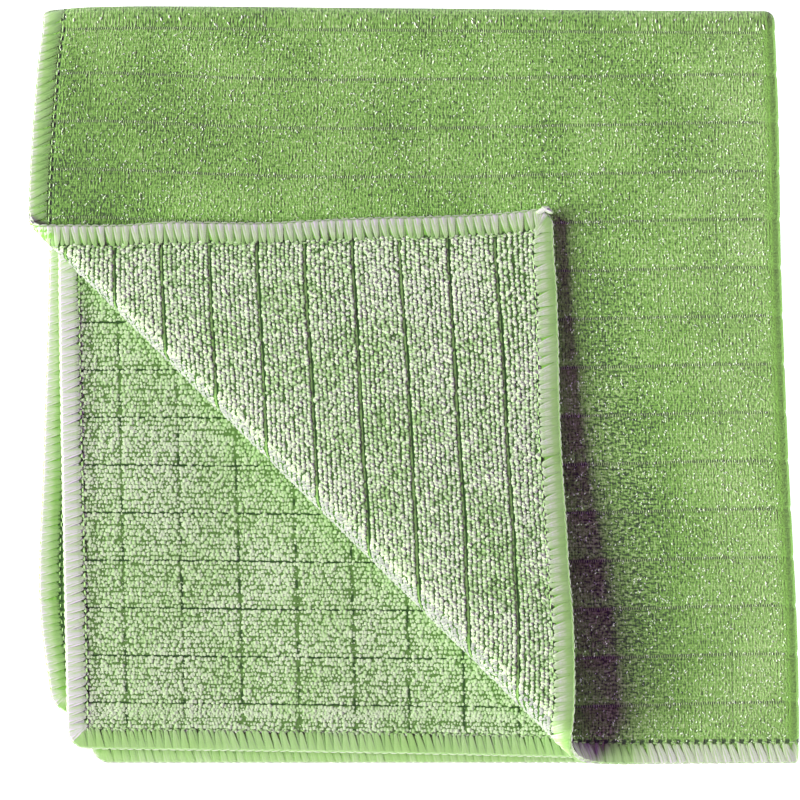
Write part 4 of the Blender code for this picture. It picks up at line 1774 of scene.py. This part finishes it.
@dataclass
class RimSeam:
    """The overlocked seam: wrapped thread, a knotted outer edge, and the needle's line on both faces."""

    surface: Surface
    repeater: Repeater
    stitch_pitch: float = 2.35 * MM
    rim_gap: float = 0.05 * MM
    needle_gap: float = 0.35 * MM
    needle_sunk: float = 0.4 * MM
    needle_under: float = 0.85
    jitter: tuple[float, float] = (0.08, 0.06)
    squareness: float = 0.25
    lean_curve: float = 1.3
    width_curve: float = 0.8
    end_lift: float = 0.93
    end_taper: float = 0.7
    # Where the turned corner's shadow falls on the top layer's hem, and how much painted highlight its thread
    # loses there.
    green_at: float = 47 * MM
    green_reach: float = 11 * MM
    green_by: float = 0.9
    tail_places: tuple = ((201.8, 199.3, 1.25), (201.7, 200.6, 2.2))

    def rim(self, place: float = 0.0, inwards: float = 0.0) -> tuple[Array, Array]:
        """Where the stitches are round the rounded square.

        Args:
            place: Which place in each stitch, as a share of it.
            inwards: How far inside the rim.

        Returns:
            Those places, and the rotation that turns a strand to run along the rim there.
        """
        shape = self.surface.shape
        straight = shape.check.half_side - shape.corner_radius
        side = 2 * straight + math.pi / 2 * shape.corner_radius
        count = round(4 * side / self.stitch_pitch)
        corner, rest = np.divmod((np.arange(count) + place) * 4 * side / count, side)
        turned = np.clip((rest - 2 * straight) / shape.corner_radius, 0, None)
        x = np.minimum(rest, 2 * straight) - straight + shape.corner_radius * np.sin(turned)
        y = -straight - shape.corner_radius * np.cos(turned)
        quarter = corner * math.pi / 2
        heading = turned + quarter
        across = x * np.cos(quarter) - y * np.sin(quarter) - inwards * np.sin(heading)
        along = x * np.sin(quarter) + y * np.cos(quarter) + inwards * np.cos(heading)
        return np.column_stack([across, along]), np.column_stack([0 * heading, 0 * heading, heading])

    def round_rim(self, thread: Thread, highlights: tuple) -> Strand:
        """One stitch's thread: out over the smooth face, round the rim and back over the pile face.

        Args:
            thread: Which thread it is.
            highlights: How pale it is, in painted highlight, from the smooth face to the pile face.

        Returns:
            The strand.
        """
        share = np.array((0, 0.03, 0.1, 0.24, 0.4, 0.5, 0.6, 0.76, 0.9, 0.97, 1))
        turn = math.pi * share
        rise = np.sign(np.cos(turn)) * np.abs(np.cos(turn)) ** self.squareness
        inwards = 1 - np.sin(turn)
        lean = np.where(rise > 0, -thread.lean[0], thread.lean[1]) * inwards**self.lean_curve
        reach = self.surface.seam_width * inwards + self.rim_gap
        path = np.stack([lean, reach, thread.lift * rise], axis=1)
        path[[0, -1], 2] *= self.end_lift
        taper = np.ones(len(share))
        taper[[0, -1]] = self.end_taper
        outwards = (1 - inwards) ** self.width_curve
        width = taper * thread.width * (thread.inner_share + (1 - thread.inner_share) * outwards)
        # Painted highlight and shade along the thread, from face to face.
        pale = smooth_curve(highlights, share)
        return Strand(thread.name, path, width, thread.height * taper, pale, thread.sides, (0, 1, 1))

    def hem_in_corner_shadow(self, across: Array, along: Array) -> Array:
        """How much less pale the upper half's thread is where the turned corner's shadow falls on the hem, as
        a value below 0: painted shade that takes its painted highlight away.
        """
        return -self.green_by * step(np.abs(across - self.green_at), self.green_reach, 0) * (along > 0)

    def laid(
        self,
        name: str,
        strand: Strand,
        finish: Material,
        places: Array,
        up: float | Array,
        facing: Array,
        seed: int,
    ) -> Object:
        """Repeats a strand round the rim.

        Args:
            name: The new piece's name.
            strand: The strand that is repeated.
            finish: Its finish.
            places: Where, one (across, along) row each.
            up: Their heights, or one for all.
            facing: Their rotations, one Euler row each.
            seed: Seed of the jitter.

        Returns:
            The piece.
        """
        points = np.column_stack([places, np.broadcast_to(up, len(places))])
        return self.repeater.repeat(
            name, strand, finish, points, facing, self.jitter, seed, paler=self.hem_in_corner_shadow
        )

    def threads(self, finish: Material, where: Rim) -> list[Object]:
        """Makes the broad wraps and the narrow looper threads of one rim.

        Args:
            finish: Their finish.
            where: Which rim.

        Returns:
            The wraps and the loopers.
        """
        made = []
        for thread, highlights in zip((WRAP, LOOPER), where.value):
            rim, level = self.rim(thread.place)
            here = where.holds(*rim.T)
            name, strand = f"seam_{thread.name}_{where.name.lower()}", self.round_rim(thread, highlights)
            made.append(self.laid(name, strand, finish, rim[here], 0.0, level[here], thread.seed))
        return made

    def purls(self, finish: Material) -> Object:
        """Makes the knots along the outer edge."""
        rim, level = self.rim(LOOPER.place, -self.rim_gap)
        return self.laid("seam_purls", PURL.strand(), finish, rim, 0.0, level, PURL.seed)

    def needle_line(self, finish: Material) -> Object:
        """Makes the needle thread's stitches on both faces.

        Args:
            finish: Their finish.

        Returns:
            The stitches, as one piece.
        """
        line, level = self.rim(inwards=self.surface.seam_width + self.needle_gap)
        facing = np.concatenate([level, level + (math.pi, 0, 0)])
        up = self.surface.shape.thickness / 2 - self.needle_sunk
        heights = np.repeat((up, -self.needle_under * up), len(line))
        stitch, places = NEEDLE_STITCH, np.tile(line, (2, 1))
        return self.laid("seam_needle_line", stitch.strand(), finish, places, heights, facing, stitch.seed)

    def tail(self, finish: Material) -> Object:
        """Makes the ends of thread that are left over at the turned corner.

        Args:
            finish: Their finish.

        Returns:
            The ends, as one piece.
        """
        across, along, turned = np.array(self.tail_places).T
        facing = np.column_stack([0 * turned + math.pi, 0 * turned, turned])
        places = MM * np.column_stack([across, along])
        return self.laid("seam_tail", TAIL.strand(), finish, places, -WRAP.lift, facing, TAIL.seed)

    def build(self, finish: Material) -> list[Object]:
        """Makes the seam's pieces."""
        threads = [piece for where in Rim for piece in self.threads(finish, where)]
        return [*threads, self.purls(finish), self.needle_line(finish), self.tail(finish)]


@dataclass(frozen=True)
class Sun:
    """One soft light: how high it stands, the side it comes from, its strength and its width, in degrees."""

    name: str
    elevation: float
    azimuth: float
    strength: float
    softness: float

    def build(self) -> None:
        """Sets it in the scene."""
        data = bpy.data.lights.new(self.name, "SUN")
        data.energy, data.angle = self.strength, math.radians(self.softness)
        up, side = math.radians(self.elevation), math.radians(self.azimuth)
        towards = Vector((math.cos(up) * math.cos(side), math.cos(up) * math.sin(side), math.sin(up)))
        add_object(self.name, data).rotation_euler = towards.to_track_quat("Z", "Y").to_euler()


@dataclass(frozen=True)
class Studio:
    """The plain floor, the light and the camera straight above."""

    picture_px: int = 800
    mm_per_px: float = 0.27
    middle_px: tuple[float, float] = (413.5, 386.0)
    focus_height: float = 6.0 * MM
    lens_mm: float = 300.0
    sensor_mm: float = 36.0
    key: Sun = Sun("key", elevation=23, azimuth=179, strength=9.0, softness=33)
    edge: Sun = Sun("edge", elevation=1.2, azimuth=-32, strength=6.0, softness=5)
    sky: Colour = (0.31, 0.06, 0.61, 1)
    backdrop: Colour = (1.0, 1.0, 1.0, 1)
    floor_size: float = 3.0
    floor_colour: Colour = (0.86, 0.86, 0.86, 1)
    floor_roughness: float = 0.9
    floor_glow: float = 1.0

    def camera(self, shape: FoldedShape) -> None:
        """Sets the camera over the middle of the picture, looking straight down.

        Args:
            shape: The folded shape, for its outline's middle.
        """
        data = bpy.data.cameras.new("camera")
        data.lens, data.sensor_width = self.lens_mm, self.sensor_mm
        width = self.picture_px * self.mm_per_px * MM
        distance = width * self.lens_mm / self.sensor_mm
        middle = self.picture_px / 2
        x = (middle - self.middle_px[0]) * self.mm_per_px * MM - shape.outline_centre[0]
        y = (self.middle_px[1] - middle) * self.mm_per_px * MM - shape.outline_centre[1]
        data.clip_end = 2 * distance + self.floor_size
        made = add_object("camera", data)
        made.location = (x, y, self.focus_height + distance)
        bpy.context.scene.camera = made

    def light(self) -> None:
        """Sets the low key light on the left, a weak one along the floor from the right, and an even fill."""
        self.key.build()
        self.edge.build()
        world = bpy.data.worlds.new("fill")
        world.use_nodes = True
        graph = Graph(world.node_tree)
        seen = graph.add("ShaderNodeLightPath", "Is Camera Ray")
        graph.dress(world.node_tree.nodes["Background"], {"Color": graph.mix(seen, self.sky, self.backdrop)})
        bpy.context.scene.world = world

    def floor(self) -> Object:
        """Lays the pale floor.

        Returns:
            The floor.
        """
        half = self.floor_size / 2
        mesh = bpy.data.meshes.new("floor")
        corners = [(-half, -half, 0), (half, -half, 0), (half, half, 0), (-half, half, 0)]
        mesh.from_pydata(corners, [], [(0, 1, 2, 3)])
        material, graph, shader = new_material("pale floor")
        glow = {"Emission Color": self.backdrop, "Emission Strength": self.floor_glow}
        graph.dress(shader, {"Base Color": self.floor_colour, "Roughness": self.floor_roughness, **glow})
        mesh.materials.append(material)
        return add_object("floor", mesh)

    def build(self, shape: FoldedShape) -> None:
        """Sets up the floor, the light and the camera, and the plain view transform.

        Args:
            shape: The folded shape, for its outline's middle.
        """
        self.floor()
        self.light()
        self.camera(shape)
        bpy.context.scene.view_settings.view_transform = "Standard"
        bpy.context.scene.view_settings.look = "None"


@dataclass
class MicrofibreCloth:
    """The whole cloth, in the order in which it is made."""

    shape: FoldedShape = FoldedShape()

    def build(self) -> None:
        """Makes every piece, dresses it and hands it to the frame."""
        surface = Surface(self.shape)
        check_lines, filaments, drift = check_lines_group(self.shape.check), filaments_group(), drift_group()
        rim_group = rim_stitches_group()
        knit = KnitFinish(self.shape.check.half_side).build(check_lines, drift, rim_group)
        ground = GroundFinish(self.shape.check.half_side).build(check_lines, rim_group)
        pile = PILE_FINISH.build(filaments, drift)
        thread = THREAD_FINISH.build(filaments, drift)
        repeater = Repeater(self.shape)
        sheet = KnittedSheet(surface).build(knit, ground)
        turned = LoopedPile(surface, repeater, True, "pile_turned_corner")
        under = LoopedPile(
            surface,
            repeater,
            False,
            "pile_under_layer",
            ribs_per_cell=12,
            bare_line=0.35 * MM,
            loop_pitch=0.86 * MM,
            loop=replace(LOOP, length=1.15 * MM, width=1.15 * MM, rise=0.15 * MM),
            jitter=(math.radians(55), 0.2),
            stray=0.16 * MM,
            wander=0.1 * MM,
            wander_shift=1.7,
            weak_press=0.8,
            laid=0.02,
            seed=22,
        )
        extras = [
            turned.build(pile),
            under.build(LAID_PILE_FINISH.build(filaments, drift)),
            *RimSeam(surface, repeater).build(thread),
            Lint(surface, repeater).build(LINT_FINISH.build(filaments, drift)),
        ]
        for piece in (sheet, *extras):
            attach(piece, BODY)
            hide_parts(NODE)
            log.info("%s: %d faces", piece.name, len(piece.data.polygons))


def main() -> None:
    """Builds the cloth and the studio."""
    logging.basicConfig(level=logging.INFO, format="%(name)s: %(message)s")
    cloth = MicrofibreCloth()
    cloth.build()
    Studio().build(cloth.shape)


if __name__ == "__main__":
    main()
